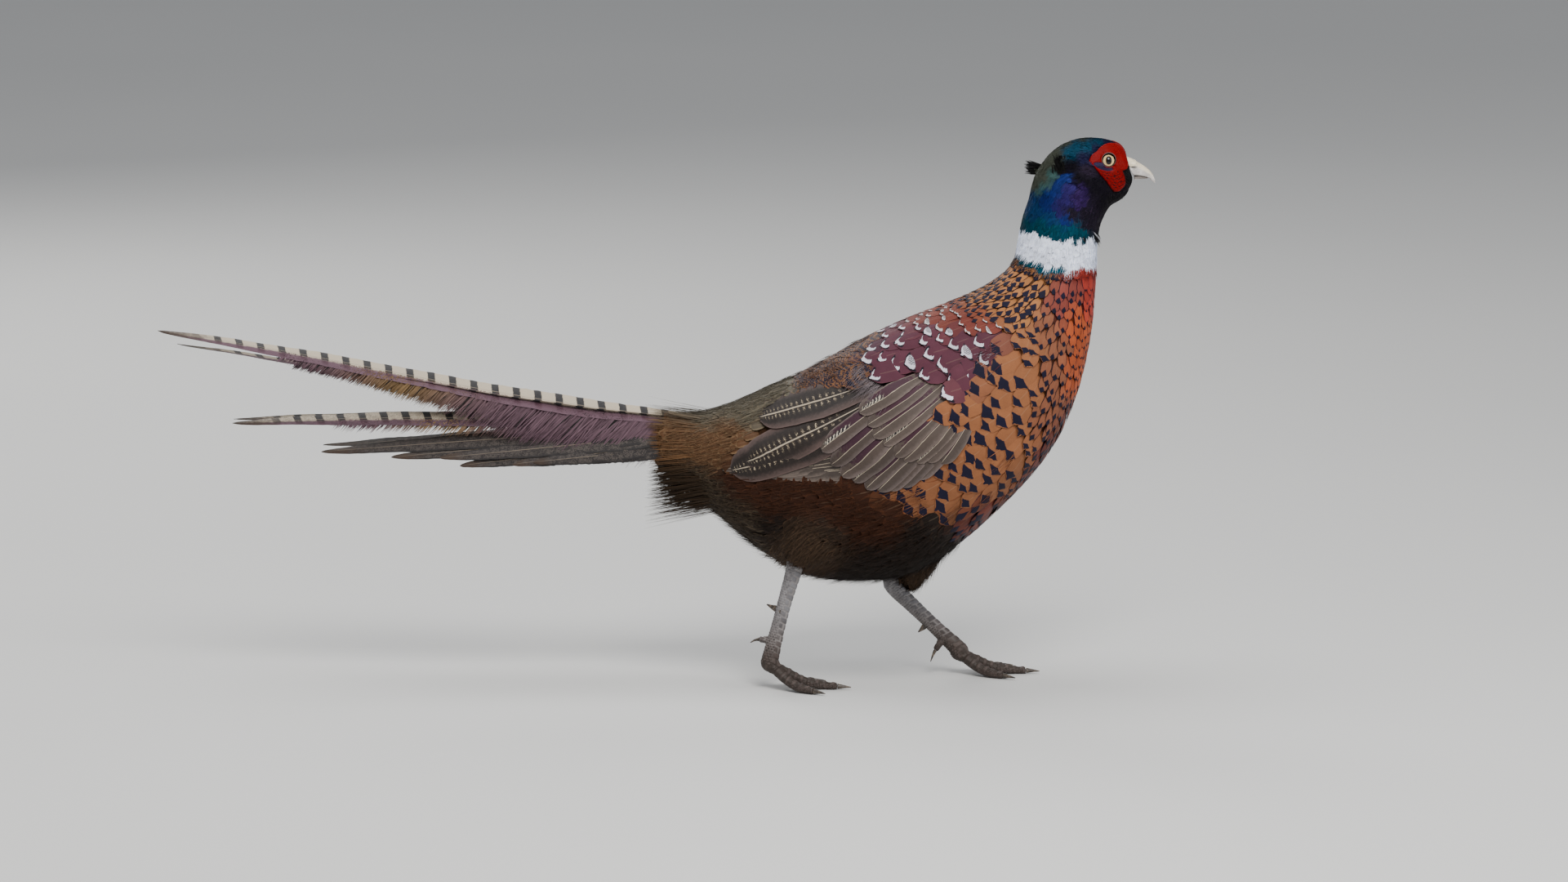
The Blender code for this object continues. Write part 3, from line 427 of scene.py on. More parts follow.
def floor_finish():
    finish = Finish("floor", Roughness=0.85)
    cloud = finish.noise(1.3, 2.0)
    return finish.paint(Base_Color=finish.mix((0.60, 0.60, 0.59), (0.66, 0.655, 0.64), cloud))


# Meshes


def new_piece(name, mesh, material, replaced=()):
    """A piece that rides on the body, takes a slot's finish and stands for some solids."""
    piece = bpy.data.objects.new(name, mesh)
    bpy.context.scene.collection.objects.link(piece)
    mesh.materials.append(material)
    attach(piece, "root")
    if replaced:
        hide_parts(*replaced)
    return piece


def solid_mesh(name, points, faces, maps, values, sharp=True):
    """A mesh in millimetres from arrays of quads and triangles, with UV maps and point values."""
    mesh = bpy.data.meshes.new(name)
    corners = np.concatenate([part.ravel() for part in faces])
    sizes = np.concatenate([np.full(len(part), part.shape[1]) for part in faces])
    mesh.vertices.add(len(points))
    mesh.vertices.foreach_set("co", (points * MM).astype(np.float32).ravel())
    mesh.loops.add(len(corners))
    mesh.loops.foreach_set("vertex_index", corners.astype(np.int32))
    mesh.polygons.add(len(sizes))
    mesh.polygons.foreach_set("loop_start", (np.cumsum(sizes) - sizes).astype(np.int32))
    mesh.update(calc_edges=True)
    for map_name, places in maps.items():
        layer = mesh.uv_layers.new(name=map_name)
        layer.data.foreach_set("uv", places[corners].astype(np.float32).ravel())
    for value_name, value in values.items():
        wide = value.ndim == 2
        layer = mesh.attributes.new(value_name, "FLOAT_COLOR" if wide else "FLOAT", "POINT")
        layer.data.foreach_set("color" if wide else "value", value.astype(np.float32).ravel())
    mesh.shade_smooth()
    if sharp:
        mesh.set_sharp_from_angle(angle=radians(75))
    return mesh


def vane_faces(stations, columns):
    """Quads round one closed feather, rows of columns over a keel, and triangles at its ends."""
    wide = columns + 1
    round_it = [(s * wide + c, s * wide + wide + c, s * wide + wide + (c + 1) % wide,
                 s * wide + (c + 1) % wide) for s in range(stations - 1) for c in range(wide)]
    last = (stations - 1) * wide
    ends = []
    for c in range(columns - 1):
        ends.append((c, c + 1, columns))
        ends.append((last + columns, last + c + 1, last + c))
    return np.array(round_it), np.array(ends)


def feather_piece(name, points, looks, patches, material, replaced=(), flipped=None):
    """One joined mesh of feathers; points are (feather, station, column and keel, xyz).

    Each feather's map place is the rectangle that patches gives it, as corner and size.
    Where flipped is 1, its pattern is mirrored across the shaft.
    """
    count, stations, wide, _ = points.shape
    step = (np.arange(count) * stations * wide)[:, None, None]
    faces = [(part[None] + step).reshape(-1, part.shape[1])
             for part in vane_faces(stations, wide - 1)]
    across = np.append(np.linspace(0, 1, wide - 1), 0.5)
    along = np.linspace(0, 1, stations)
    vane = np.stack(np.broadcast_arrays(across[None], along[:, None]), -1).reshape(1, -1, 2)
    bake = patches[:, None, :2] + vane * patches[:, None, 2:]
    vane = np.repeat(vane, count, 0)
    if flipped is not None:
        turned = np.asarray(flipped, float)[:, None]
        vane[..., 0] = vane[..., 0] * (1 - turned) + (1 - vane[..., 0]) * turned
    values = {key: np.repeat(value, stations * wide, axis=0) for key, value in looks.items()}
    mesh = solid_mesh(name, points.reshape(-1, 3), faces,
                      {"OFBake": bake.reshape(-1, 2), "Vane": vane.reshape(-1, 2)}, values)
    return new_piece(name, mesh, material, replaced)


def fused(names, voxel, rounds):
    """One smooth closed mesh made from copies of some solids."""
    bm = bmesh.new()
    for name in names:
        bm.from_mesh(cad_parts[name].data)
    bmesh.ops.remove_doubles(bm, verts=bm.verts, dist=1e-6)
    mesh = bpy.data.meshes.new("fused")
    bm.to_mesh(mesh)
    bm.free()
    item = bpy.data.objects.new("fused", mesh)
    bpy.context.scene.collection.objects.link(item)
    remesh = item.modifiers.new("voxels", "REMESH")
    remesh.mode = "VOXEL"
    remesh.voxel_size = voxel * MM
    soften = item.modifiers.new("soften", "SMOOTH")
    soften.iterations = rounds
    graph = bpy.context.evaluated_depsgraph_get()
    result = bpy.data.meshes.new_from_object(item.evaluated_get(graph))
    bpy.data.objects.remove(item, do_unlink=True)
    result.materials.clear()
    return result


def read_mesh(mesh):
    """Points in millimetres, their normals, and the quads of a mesh."""
    points = np.empty(len(mesh.vertices) * 3, np.float32)
    mesh.vertices.foreach_get("co", points)
    normals = np.empty_like(points)
    mesh.vertex_normals.foreach_get("vector", normals)
    corners = np.empty(len(mesh.loops), np.int32)
    mesh.loops.foreach_get("vertex_index", corners)
    return points.reshape(-1, 3) / MM, normals.reshape(-1, 3), corners.reshape(-1, 4)


# The hide, and where things are on it


def along_spine(points):
    """How far each point is from the face, its heading to the tail, and its turn from the back."""
    flat = points[:, [0, 2]]
    start, run = SPINE[:-1], SPINE[1:] - SPINE[:-1]
    length = np.linalg.norm(run, axis=1)
    t = np.clip(((flat[:, None] - start) * run).sum(-1) / length ** 2, 0, 1)
    foot = start + run * t[..., None]
    near = 1 / (np.sum((flat[:, None] - foot) ** 2, -1) + 90) ** 3
    near /= near.sum(1, keepdims=True)
    begins = np.concatenate([[0], np.cumsum(length)[:-1]])
    reach = (near * (begins + t * length)).sum(1)
    way = (near[..., None] * (run / length[:, None])).sum(1)
    way = unit(np.stack([way[:, 0], np.zeros(len(way)), way[:, 1]], 1))
    middle = (near[..., None] * foot).sum(1)
    height = ((flat - middle) * np.stack([way[:, 2], -way[:, 0]], 1)).sum(1)
    return reach, way, np.arctan2(points[:, 1], height)


SPINE_LENGTH = np.linalg.norm(np.diff(SPINE, axis=0), axis=1).sum()


def thigh_nearness(points):
    """How much each point belongs to a thigh, and the way that the thigh points."""
    most, way = np.zeros(len(points)), np.zeros((len(points), 3))
    for name, side in SIDES.items():
        top, foot = (np.array(p) * (1, side, 1) for p in THIGH_LINE[name])
        run = foot - top
        t = np.clip(((points - top) * run).sum(1) / (run ** 2).sum(), 0, 1)
        gap = np.linalg.norm(points - top - run * t[:, None], axis=1)
        share = ease(30, 15, gap) * (np.sign(points[:, 1]) == side) * ease(0.0, 0.45, t)
        way += share[:, None] * unit(run)
        most = np.maximum(most, share)
    return most, way


def lie(points, normals):
    """The way that feathers lie at each point: by FLOW, and down the thighs."""
    gap = ((points[:, None, [0, 2]] - FLOW[:, :2]) ** 2).sum(-1)
    near = 1 / (gap + 80) ** 2.5
    near /= near.sum(1, keepdims=True)
    turn = radians(1) * FLOW[:, 2]
    way = np.stack([-(near @ np.cos(turn)), np.zeros(len(points)), -(near @ np.sin(turn))], 1)
    share, down = thigh_nearness(points)
    return flat_to(way * (1 - share[:, None]) + down * 1.4, normals)


def coat_depth(points):
    """Depth of the coat: thin on the face, deeper down the neck and deepest on the body."""
    reach, _, _ = along_spine(points)
    return 0.5 + 0.7 * ease(12, 40, reach) + 1.0 * ease(60, 100, reach) + 1.6 * ease(110, 190, reach)


class Hide:
    """The skin under the feathers, which finds its nearest place to a point."""

    def __init__(self, mesh):
        self.points, self.normals, self.quads = read_mesh(mesh)
        self.tree = BVHTree.FromPolygons(self.points.tolist(), self.quads.tolist())
        self.face_normals = unit(self.normals[self.quads].mean(1))

    def nearest(self, points):
        found = [self.tree.find_nearest(p) for p in points.tolist()]
        return (np.array([f[0] for f in found]),
                self.face_normals[np.array([f[2] for f in found])])

    def from_side(self, flat, side):
        """Where side places (x, z) meet the hide, seen from the right or the left."""
        aim = Vector((0, -side, 0))
        found = [self.tree.ray_cast(Vector((x, side * 200, z)), aim) for x, z in flat.tolist()]
        missed = [f[0] is None for f in found]
        if any(missed):
            found = [self.tree.find_nearest(Vector((x, side * 45, z))) if miss else f
                     for f, miss, (x, z) in zip(found, missed, flat.tolist())]
        return (np.array([f[0] for f in found]),
                self.face_normals[np.array([f[2] for f in found])])


# Kinds of plumage. spacing and reach (length in spacings), then colours as linear red, green
# and blue. spot is its place along the vane, half length and half width.

BLACK = (0.006, 0.005, 0.018)


def kind(spacing, ground, edge=None, rim=0.0, mark=BLACK, spot=(1.0, 0.01, 0.01), ringed=0.0,
         barred=0.0, gloss=0.0, fuzz=0.0, reach=2.5):
    return np.array([spacing, reach, *ground, gloss, *(edge or ground), rim, *mark, ringed,
                     *spot, barred, fuzz], float)


KINDS = {
    "crown": kind(1.5, (0.040, 0.046, 0.034), (0.062, 0.068, 0.050), 0.3, gloss=0.3, fuzz=1.0,
                  reach=3.0),
    "teal_crown": kind(1.5, (0.004, 0.044, 0.088), (0.009, 0.062, 0.105), 0.3, gloss=0.5,
                       fuzz=1.0, reach=2.8),
    "brow": kind(1.5, (0.008, 0.007, 0.040), (0.020, 0.022, 0.06), 0.3, gloss=0.5, fuzz=1.0,
                 reach=2.6),
    "lore": kind(1.3, (0.002, 0.002, 0.003), fuzz=1.0, reach=2.6),
    # The cheek's lighter purple edge colour is painted sheen.
    "cheek": kind(1.6, (0.0024, 0.0015, 0.0048), (0.010, 0.005, 0.016), 0.25, gloss=0.3, fuzz=1.0,
                  reach=2.8),
    "ear_patch": kind(1.6, (0.014, 0.007, 0.020), (0.050, 0.036, 0.066), 0.25, gloss=0.3,
                      fuzz=1.0, reach=2.8),
    "nape": kind(1.8, (0.034, 0.080, 0.074), (0.040, 0.100, 0.098), 0.3, gloss=0.45, fuzz=1.0,
                 reach=3.0),
    # The darker edge colours of the blue, violet, purple and teal neck kinds are painted shade in the
    # gaps between the overlapping feathers.
    "blue_neck": kind(3.4, (0.0066, 0.020, 0.130), (0.003, 0.006, 0.040), 0.18, gloss=0.6,
                      reach=2.5, fuzz=0.7),
    "violet_neck": kind(3.3, (0.017, 0.010, 0.088), (0.006, 0.003, 0.030), 0.22, gloss=0.6,
                        reach=2.5, fuzz=0.7),
    "purple_neck": kind(3.2, (0.026, 0.009, 0.070), (0.005, 0.003, 0.020), 0.24, gloss=0.55,
                        reach=2.5, fuzz=0.7),
    "teal_blue": kind(2.8, (0.0024, 0.033, 0.105), (0.002, 0.018, 0.050), 0.18, gloss=0.6,
                      reach=2.6, fuzz=0.7),
    "teal_neck": kind(2.7, (0.0020, 0.050, 0.078), (0.002, 0.032, 0.050), 0.2, gloss=0.6,
                      fuzz=0.6, reach=2.7),
    # The lighter purple edge colour of dark_neck is painted sheen, glints on black feathers.
    "dark_neck": kind(3.2, (0.0046, 0.0028, 0.009), (0.060, 0.034, 0.074), 0.12, gloss=0.4,
                      reach=2.4, fuzz=0.6),
    "ring": kind(3.0, (0.82, 0.87, 1.0), (0.88, 0.92, 1.0), 0.1, fuzz=1.0, reach=3.2),
    "mantle": kind(4.5, (0.32, 0.128, 0.042), (0.006, 0.004, 0.010), 0.19,
                   spot=(0.98, 0.56, 1.1)),
    "russet_mantle": kind(5.0, (0.20, 0.052, 0.022), (0.008, 0.004, 0.010), 0.17,
                          spot=(0.98, 0.42, 0.95)),
    "copper": kind(4.6, (0.31, 0.029, 0.019), (0.010, 0.004, 0.014), 0.19,
                   spot=(1.0, 0.16, 0.40), gloss=0.3, reach=2.8),
    "side_copper": kind(4.8, (0.19, 0.040, 0.030), (0.008, 0.004, 0.012), 0.20,
                        spot=(0.98, 0.34, 0.78), gloss=0.3, reach=2.8),
    "orange": kind(4.8, (0.37, 0.072, 0.021), (0.012, 0.004, 0.012), 0.19,
                   spot=(1.0, 0.24, 0.66), gloss=0.2, reach=2.8),
    "gold_breast": kind(5.4, (0.20, 0.070, 0.035), (0.012, 0.005, 0.010), 0.18,
                        spot=(0.96, 0.30, 0.90), gloss=0.1, reach=2.8),
    "low_breast": kind(6.0, (0.112, 0.024, 0.016), (0.008, 0.003, 0.020), 0.19,
                       spot=(0.96, 0.34, 0.95), gloss=0.25, reach=2.8),
    "flank": kind(8.2, (0.25, 0.094, 0.038), spot=(0.84, 0.165, 1.12), fuzz=0.08, reach=3.0),
    "low_flank": kind(9.4, (0.20, 0.077, 0.032), (0.15, 0.045, 0.016), 0.1,
                      spot=(0.85, 0.150, 1.0), reach=2.9, fuzz=0.3),
    "shoulder": kind(10.4, (0.076, 0.020, 0.034), (0.090, 0.026, 0.036), 0.05,
                     (0.60, 0.58, 0.64), (0.83, 0.135, 0.62), 1.0, gloss=0.12, reach=2.5),
    "upper_shoulder": kind(8.0, (0.135, 0.028, 0.020), (0.11, 0.024, 0.017), 0.1,
                           (0.50, 0.46, 0.46), (0.85, 0.105, 0.78), 1.0, gloss=0.12, reach=2.6),
    "low_back": kind(4.4, (0.006, 0.007, 0.020), (0.20, 0.086, 0.030), 0.05, barred=0.8,
                     gloss=0.15, reach=2.8, fuzz=0.15),
    "rump": kind(4.2, (0.076, 0.068, 0.050), (0.13, 0.106, 0.070), 0.4, barred=0.15, fuzz=1.0,
                 reach=4.2),
    "coppery": kind(4.2, (0.090, 0.041, 0.018), (0.15, 0.088, 0.044), 0.4, fuzz=1.0, reach=4.6),
    "under_flank": kind(5.6, (0.028, 0.0080, 0.0026), (0.054, 0.017, 0.0060), 0.3, fuzz=1.0,
                        reach=3.4),
    "belly": kind(5.0, (0.0075, 0.0040, 0.0027), (0.023, 0.012, 0.0072), 0.3, fuzz=1.0, reach=3.6),
    "thigh": kind(4.6, (0.034, 0.019, 0.010), (0.085, 0.049, 0.027), 0.3, fuzz=1.0, reach=3.4),
    "vent": kind(4.6, (0.016, 0.009, 0.005), (0.082, 0.060, 0.038), 0.5, fuzz=1.0, reach=4.2),
}
# Where each kind is, as side places.
PLACES = (
    ("crown", (263, 354), (266, 360), (271, 368), (281, 375), (291, 379), (299, 380), (258, 349),
     (272, 361), (259, 344), (264, 350)),
    ("nape", (266, 345), (262, 340), (271, 352)),
    ("teal_crown", (287, 370), (296, 370), (284, 367), (302, 375)),
    ("brow", (296, 365), (291, 364), (307, 376), (311, 377), (300, 370)),
    ("lore", (318, 372), (321, 368), (323, 362), (322, 355), (318, 352)),
    ("cheek", (284, 359), (278, 355), (288, 350), (300, 344), (318, 343), (306, 334), (295, 348)),
    ("ear_patch", (294, 356),),
    ("teal_blue", (259, 338), (264, 340), (257, 330), (258, 323), (268, 322)),
    ("blue_neck", (270, 340), (275, 347), (280, 351), (268, 331), (278, 320), (262, 334)),
    ("violet_neck", (284, 346), (280, 340), (278, 333), (274, 328)),
    ("purple_neck", (291, 344), (287, 339), (288, 332)),
    ("dark_neck", (292, 327), (297, 336), (299, 326), (296, 315), (302, 318), (283, 326)),
    ("teal_neck", (253, 317), (262, 316), (272, 315), (284, 313), (291, 309)),
    ("mantle", (236, 284), (222, 274), (212, 268), (254, 280), (241, 270), (226, 264),
     (262, 278), (246, 258), (232, 262), (252, 268)),
    ("russet_mantle", (204, 264), (190, 260), (220, 256)),
    ("copper", (292, 280), (301, 266), (298, 256)),
    ("side_copper", (272, 268), (276, 258), (284, 276), (280, 268)),
    ("orange", (296, 236), (298, 246), (288, 206), (292, 220), (286, 244), (284, 256)),
    ("gold_breast", (268, 252), (272, 236), (268, 214), (270, 194), (262, 180)),
    ("low_breast", (268, 166), (262, 156), (250, 140), (280, 186), (230, 118), (215, 106),
     (256, 150)),
    ("flank", (238, 226), (226, 196), (214, 174), (250, 206), (205, 190), (240, 240),
     (228, 214), (244, 180), (190, 172), (248, 166), (254, 226), (236, 160), (222, 154)),
    ("low_flank", (203, 148), (186, 144), (170, 140), (222, 138), (238, 148), (196, 140)),
    ("shoulder", (152, 226), (180, 238), (208, 236), (192, 222), (165, 242), (222, 240),
     (172, 216), (210, 226), (186, 244), (160, 234)),
    ("upper_shoulder", (200, 256), (188, 254), (212, 252), (176, 253), (224, 249), (164, 250)),
    ("low_back", (122, 222), (101, 212), (133, 232), (146, 242), (112, 216)),
    ("rump", (54, 194), (32, 188), (78, 201), (88, 205), (66, 186)),
    ("coppery", (30, 168), (52, 172), (12, 176), (70, 176), (90, 184)),
    ("belly", (110, 104), (166, 90), (82, 108), (138, 80), (120, 86), (190, 100), (206, 94),
     (180, 112)),
    ("vent", (40, 132), (22, 144), (58, 116), (76, 96)),
    ("under_flank", (112, 134), (82, 137), (138, 126), (60, 146), (160, 122)),
)
PLACE_POINTS = np.array([point for _, *points in PLACES for point in points], float)
PLACE_KINDS = np.array([KINDS[name] for name, *points in PLACES for _ in points])
RING_TOP = ((246, 311), (275, 308), (303, 305))     # upper edge of the white ring
RING_FOOT = ((245, 298), (262, 291), (282, 287.5), (302, 287.5))    # and its lower edge
GREEN_BAND = 5.5                                    # height of the dark band under it, at the nape


def curve_height(line, x):
    xs, zs = np.array(line, float).T
    return np.interp(x, xs, zs)


PATTERN = slice(9, 18)                  # the columns of a kind that aren't blended


def plumage_at(points):
    """The numbers of KINDS at each point: colours blended from the nearest places."""
    flat = points[:, [0, 2]] - np.stack([0 * points[:, 1], abs(points[:, 1]) * 0.02], 1)
    gap = ((flat[:, None] - PLACE_POINTS) ** 2).sum(-1)
    soft = 4 + 36 * ease(312, 285, points[:, 2:3])
    near = 1 / (gap + soft) ** 3.5
    near /= near.sum(1, keepdims=True)
    plumage = near @ PLACE_KINDS
    plumage[:, PATTERN] = PLACE_KINDS[gap.argmin(1)][:, PATTERN]
    ragged = 0.9 * np.sin(points[:, 1] * 0.9 + points[:, 0] * 0.6)
    in_neck = (points[:, 2] > 270) & (points[:, 0] > 235)
    above = points[:, 2] - curve_height(RING_TOP, points[:, 0]) + ragged
    below = points[:, 2] - curve_height(RING_FOOT, points[:, 0]) + ragged
    plumage[in_neck & (above < 0) & (below > 0)] = KINDS["ring"]
    band = GREEN_BAND * ease(290, 255, points[:, 0])
    plumage[in_neck & (below <= 0) & (below > -band)] = KINDS["teal_neck"]
    share, _ = thigh_nearness(points)
    return plumage + (KINDS["thigh"] - plumage) * (share * 0.85)[:, None]


def looks_of(plumage, tint):
    """Values that the body plumage's finish reads, with each feather's own tint."""
    tinted = plumage.copy()
    tinted[:, 15:17] *= CHANCE.uniform(0.8, 1.2, (len(tint), 2))
    ringed = tinted[:, 13] > 0.5
    tinted[ringed, 17] = CHANCE.random(ringed.sum()) < 0.22
    for first in (2, 6, 10):
        tinted[:, first:first + 3] *= tint[:, None]
    return {"ground": tinted[:, 2:6], "edge": tinted[:, 6:10], "mark": tinted[:, 10:14],
            "spot": tinted[:, 14:18]}


def root_patches(roots, low, high, size=0.003):
    """Small patches of the map round each root, on the hide opened along its belly."""
    reach, _, turn = along_spine(roots)
    u = 0.02 + 0.95 * np.clip((turn - low) / (high - low), 0, 1)
    v = 0.02 + 0.95 * np.clip(reach / SPINE_LENGTH, 0, 1)
    return np.stack([u, v, np.full(len(u), size), np.full(len(u), size)], 1)


def scatter(hide, wanted, tightness, crowd=7.0):
    """Roots on the hide, kept their own spacing apart, row after row from face to tail."""
    corners = hide.points[hide.quads]
    middle = corners.mean(1)
    area = 0.5 * np.linalg.norm(np.cross(corners[:, 2] - corners[:, 0],
                                         corners[:, 3] - corners[:, 1]), axis=1)
    spacing = plumage_at(middle)[:, 0] * tightness
    expected = area / spacing ** 2 * crowd * wanted(middle)
    per_face = CHANCE.poisson(expected)
    face = np.repeat(np.arange(len(middle)), per_face)
    s, t = CHANCE.random((2, len(face), 1))
    c = corners[face]
    points = (c[:, 0] * (1 - s) + c[:, 1] * s) * (1 - t) + (c[:, 3] * (1 - s) + c[:, 2] * s) * t
    reach, _, _ = along_spine(points)
    order = np.argsort(reach + CHANCE.normal(0, 0.4, len(points)) * spacing[face])
    tree = kdtree.KDTree(len(points))
    for i, point in enumerate(points.tolist()):
        tree.insert(point, i)
    tree.balance()
    free = np.ones(len(points), bool)
    kept = []
    own = spacing[face]
    for i in order.tolist():
        if free[i]:
            kept.append(i)
            for _, other, _ in tree.find_range(points[i], own[i]):
                free[other] = False
    return points[kept], hide.face_normals[face[kept]]


PROFILES = {
    "scale": ((0, 0.42), (0.15, 0.74), (0.36, 0.97), (0.6, 1.0), (0.8, 0.90), (0.92, 0.70),
              (1.0, 0.34)),
    "wing": ((0, 0.42), (0.2, 0.74), (0.5, 0.98), (0.75, 1.0), (1.0, 0.86)),
    "hair": ((0, 0.8), (0.35, 1.0), (1.0, 0.12)),
    "wisp": ((0, 0.8), (0.35, 1.0), (0.8, 0.62), (1.0, 0.10)),
}


def profile(name, t):
    return np.interp(t, *np.array(PROFILES[name]).T)


def lay(hide, roots, heading, length, half, sunk, rise, stations, columns, shape="scale",
        bend=0.10, cup=0.0, jag=0.0, thick=0.22, stand=0.0):
    """Feathers laid over the hide from their roots, each rising over the next behind it."""
    u = np.linspace(-1, 1, columns)
    count = len(roots)
    result = np.empty((count, stations, columns + 1, 3))
    place, normal = hide.nearest(roots)
    ahead = flat_to(heading, normal)
    before = 0.0
    notch = CHANCE.uniform(-1, 0.35, (count, columns)) * jag
    for i in range(stations):
        t = i / (stations - 1)
        place, normal = hide.nearest(place + ahead * (length * (t - before))[:, None])
        before = t
        ahead = flat_to(ahead, normal)
        side = across_of(ahead, normal)
        fray = 1 - CHANCE.uniform(0, jag, (count, 2)) * min(1.0, 3 * t)
        reach = half * profile(shape, t)
        wide_left, wide_right = (reach * fray[:, 0])[:, None], (reach * fray[:, 1])[:, None]
        back = (length * bend * t ** 3)[:, None]
        left, right = place - side * wide_left - ahead * back, place + side * wide_right - ahead * back
        left_normal = right_normal = normal
        if columns > 3:
            left, left_normal = hide.nearest(left)
            right, right_normal = hide.nearest(right)
        lift = (sunk + rise * (1 - (1 - t) ** 2.8) + stand * t * t)[:, None]
        reach = reach[:, None]
        for k, across in enumerate(u):
            low, mid, high = (across ** 2 - across) / 2, 1 - across ** 2, (across ** 2 + across) / 2
            point = left * low + place * mid + right * high
            up = left_normal * max(-across, 0) + normal * (1 - abs(across)) + (
                right_normal * max(across, 0))
            slip = length * notch[:, k] * max(0.0, t - 0.7) / 0.3
            result[:, i, k] = point + up * (lift - cup * reach * across ** 2) + ahead * slip[:, None]
        result[:, i, columns] = place - ahead * back * 0.3 + normal * (
            lift - thick * (1.1 - t))
    return result


def strands(points, heading, normals, number, spread, scatter_by):
    """Several roots and headings for each root, for hair-like barbs; number is for each root."""
    whose = np.repeat(np.arange(len(points)), number)
    ahead = heading[whose]
    side = across_of(ahead, normals[whose])
    turn = CHANCE.normal(0, spread, (len(whose), 1))
    by = scatter_by[whose, None]
    roots = points[whose] + side * CHANCE.normal(0, 1, (len(whose), 1)) * by + (
        ahead * CHANCE.uniform(-1, 1, (len(whose), 1)) * by)
    return whose, roots, unit(ahead + side * turn)


WING_TOP = ((50, 168), (106, 197), (152, 222), (190, 222), (214, 206))
WING_FOOT = ((46, 149), (98, 158), (150, 154), (190, 168), (214, 190))


def wing_share(points, margin):
    """1 well inside the outline of the folded wing, falling to 0 at its edge."""
    x, z, out = points[:, 0], points[:, 2], abs(points[:, 1])
    top, foot = curve_height(WING_TOP, x), curve_height(WING_FOOT, x)
    return ease(0, margin, top - z) * ease(0, margin, z - foot) * ease(46, 46 + margin, x) * (
        ease(216, 216 - margin, x) * ease(12, 22, out))


WING_SHOWN = (          # upper and lower edge of the wing that shows, as x and z
    ((46, 158), (72, 191), (100, 206), (152, 221), (185, 217), (208, 215)),
    ((46, 150), (60, 147), (163, 147), (169, 176), (185, 198), (208, 215)),
)


def over_wing(points):
    """How far inside the part of the wing that shows each point is."""
    top, foot = (curve_height(line, points[:, 0]) for line in WING_SHOWN)
    inside = np.minimum(top - points[:, 2], points[:, 2] - foot)
    return np.minimum(inside, points[:, 0] - 46) * (abs(points[:, 1]) > 18)


def under_face(points):
    """Bare skin, eye and bill, where no feather grows."""
    from_eye = np.hypot(points[:, 0] - EYE[0], points[:, 2] - EYE[1])
    turn = np.degrees(np.arctan2(points[:, 2] - EYE[1], points[:, 0] - EYE[0]))
    bare = (from_eye < wattle_reach(turn) - 0.5) & (abs(points[:, 1]) > 4)
    return bare | (points[:, 0] > 323)


def feather_coat(hide, material):
    """Every body feather, in pieces that run the length of the body."""
    roots, normals = scatter(hide, lambda p: 1.0, 1.0)
    keep = ~under_face(roots)
    roots, normals = roots[keep], normals[keep]
    heading = lie(roots, normals)
    heading = unit(heading + across_of(heading, normals) * CHANCE.normal(0, 0.05, (len(roots), 1)))
    plumage = plumage_at(roots)
    spacing, fuzz = plumage[:, 0].copy(), plumage[:, 18].copy()
    long = spacing * plumage[:, 1] * np.where(fuzz > 0.8, 0.62, 1.0) * (
        CHANCE.normal(1, 0.04, len(roots)))
    shown, _ = hide.nearest(roots + heading * (long * 0.8)[:, None])
    tips, _ = hide.nearest(roots + heading * long[:, None])
    shown += CHANCE.normal(0, 0.16, shown.shape) * spacing[:, None]
    plumage[:, 2:18] = plumage_at(shown)[:, 2:18]
    above_wing = roots[:, 2] > curve_height(WING_SHOWN[0], roots[:, 0]) + 1
    keep = over_wing(tips) < 3 + 5.0 * above_wing
    depth = coat_depth(roots) * 0.72 + 1.4 * wing_share(tips, 16.0) + (
        2.2 * above_wing * ease(0, 5, over_wing(tips)))
    half = spacing * np.where((plumage[:, 9] > 0.15) & (fuzz < 0.3), 0.78, 0.96)
    tint = 1 + CHANCE.normal(0, 1, len(roots)) * (0.05 + 0.22 * plumage[:, 5])
    _, _, turn = along_spine(roots)
    sizes = (("small", spacing < 2.6, 5, 3), ("middle", (spacing >= 2.6) & (spacing < 7.2), 8, 5),
             ("large", spacing >= 7.2, 13, 9))
    for size, chosen, stations, columns in sizes:
        sectors = 1 if size == "small" else 4
        for sector in range(sectors):
            low, high = -pi + tau * sector / sectors, -pi + tau * (sector + 1) / sectors
            pick = keep & chosen & (turn >= low) & (turn < high + 1e-6)
            if not pick.any():
                continue
            small = size == "small"
            points = lay(hide, roots[pick], heading[pick], long[pick], half[pick], 0.05,
                         depth[pick] * (0.4 if small else 1.0), stations, columns,
                         cup=0.03, jag=0.0 if small else 0.05, thick=0.1 if small else 0.16)
            feather_piece(f"coat_{size}_{sector}", points, looks_of(plumage[pick], tint[pick]),
                          root_patches(roots[pick], low, high), material,
                          flipped=roots[pick, 1] > 0)
    hair = (fuzz > CHANCE.uniform(0.05, 0.6, len(roots))) & (over_wing(roots) < 8)
    hair_coat(hide, *(row[hair] for row in (roots, normals, heading, plumage, turn)), material)


HAIRS = 20               # hair-like barbs grown from one root of the loose plumage


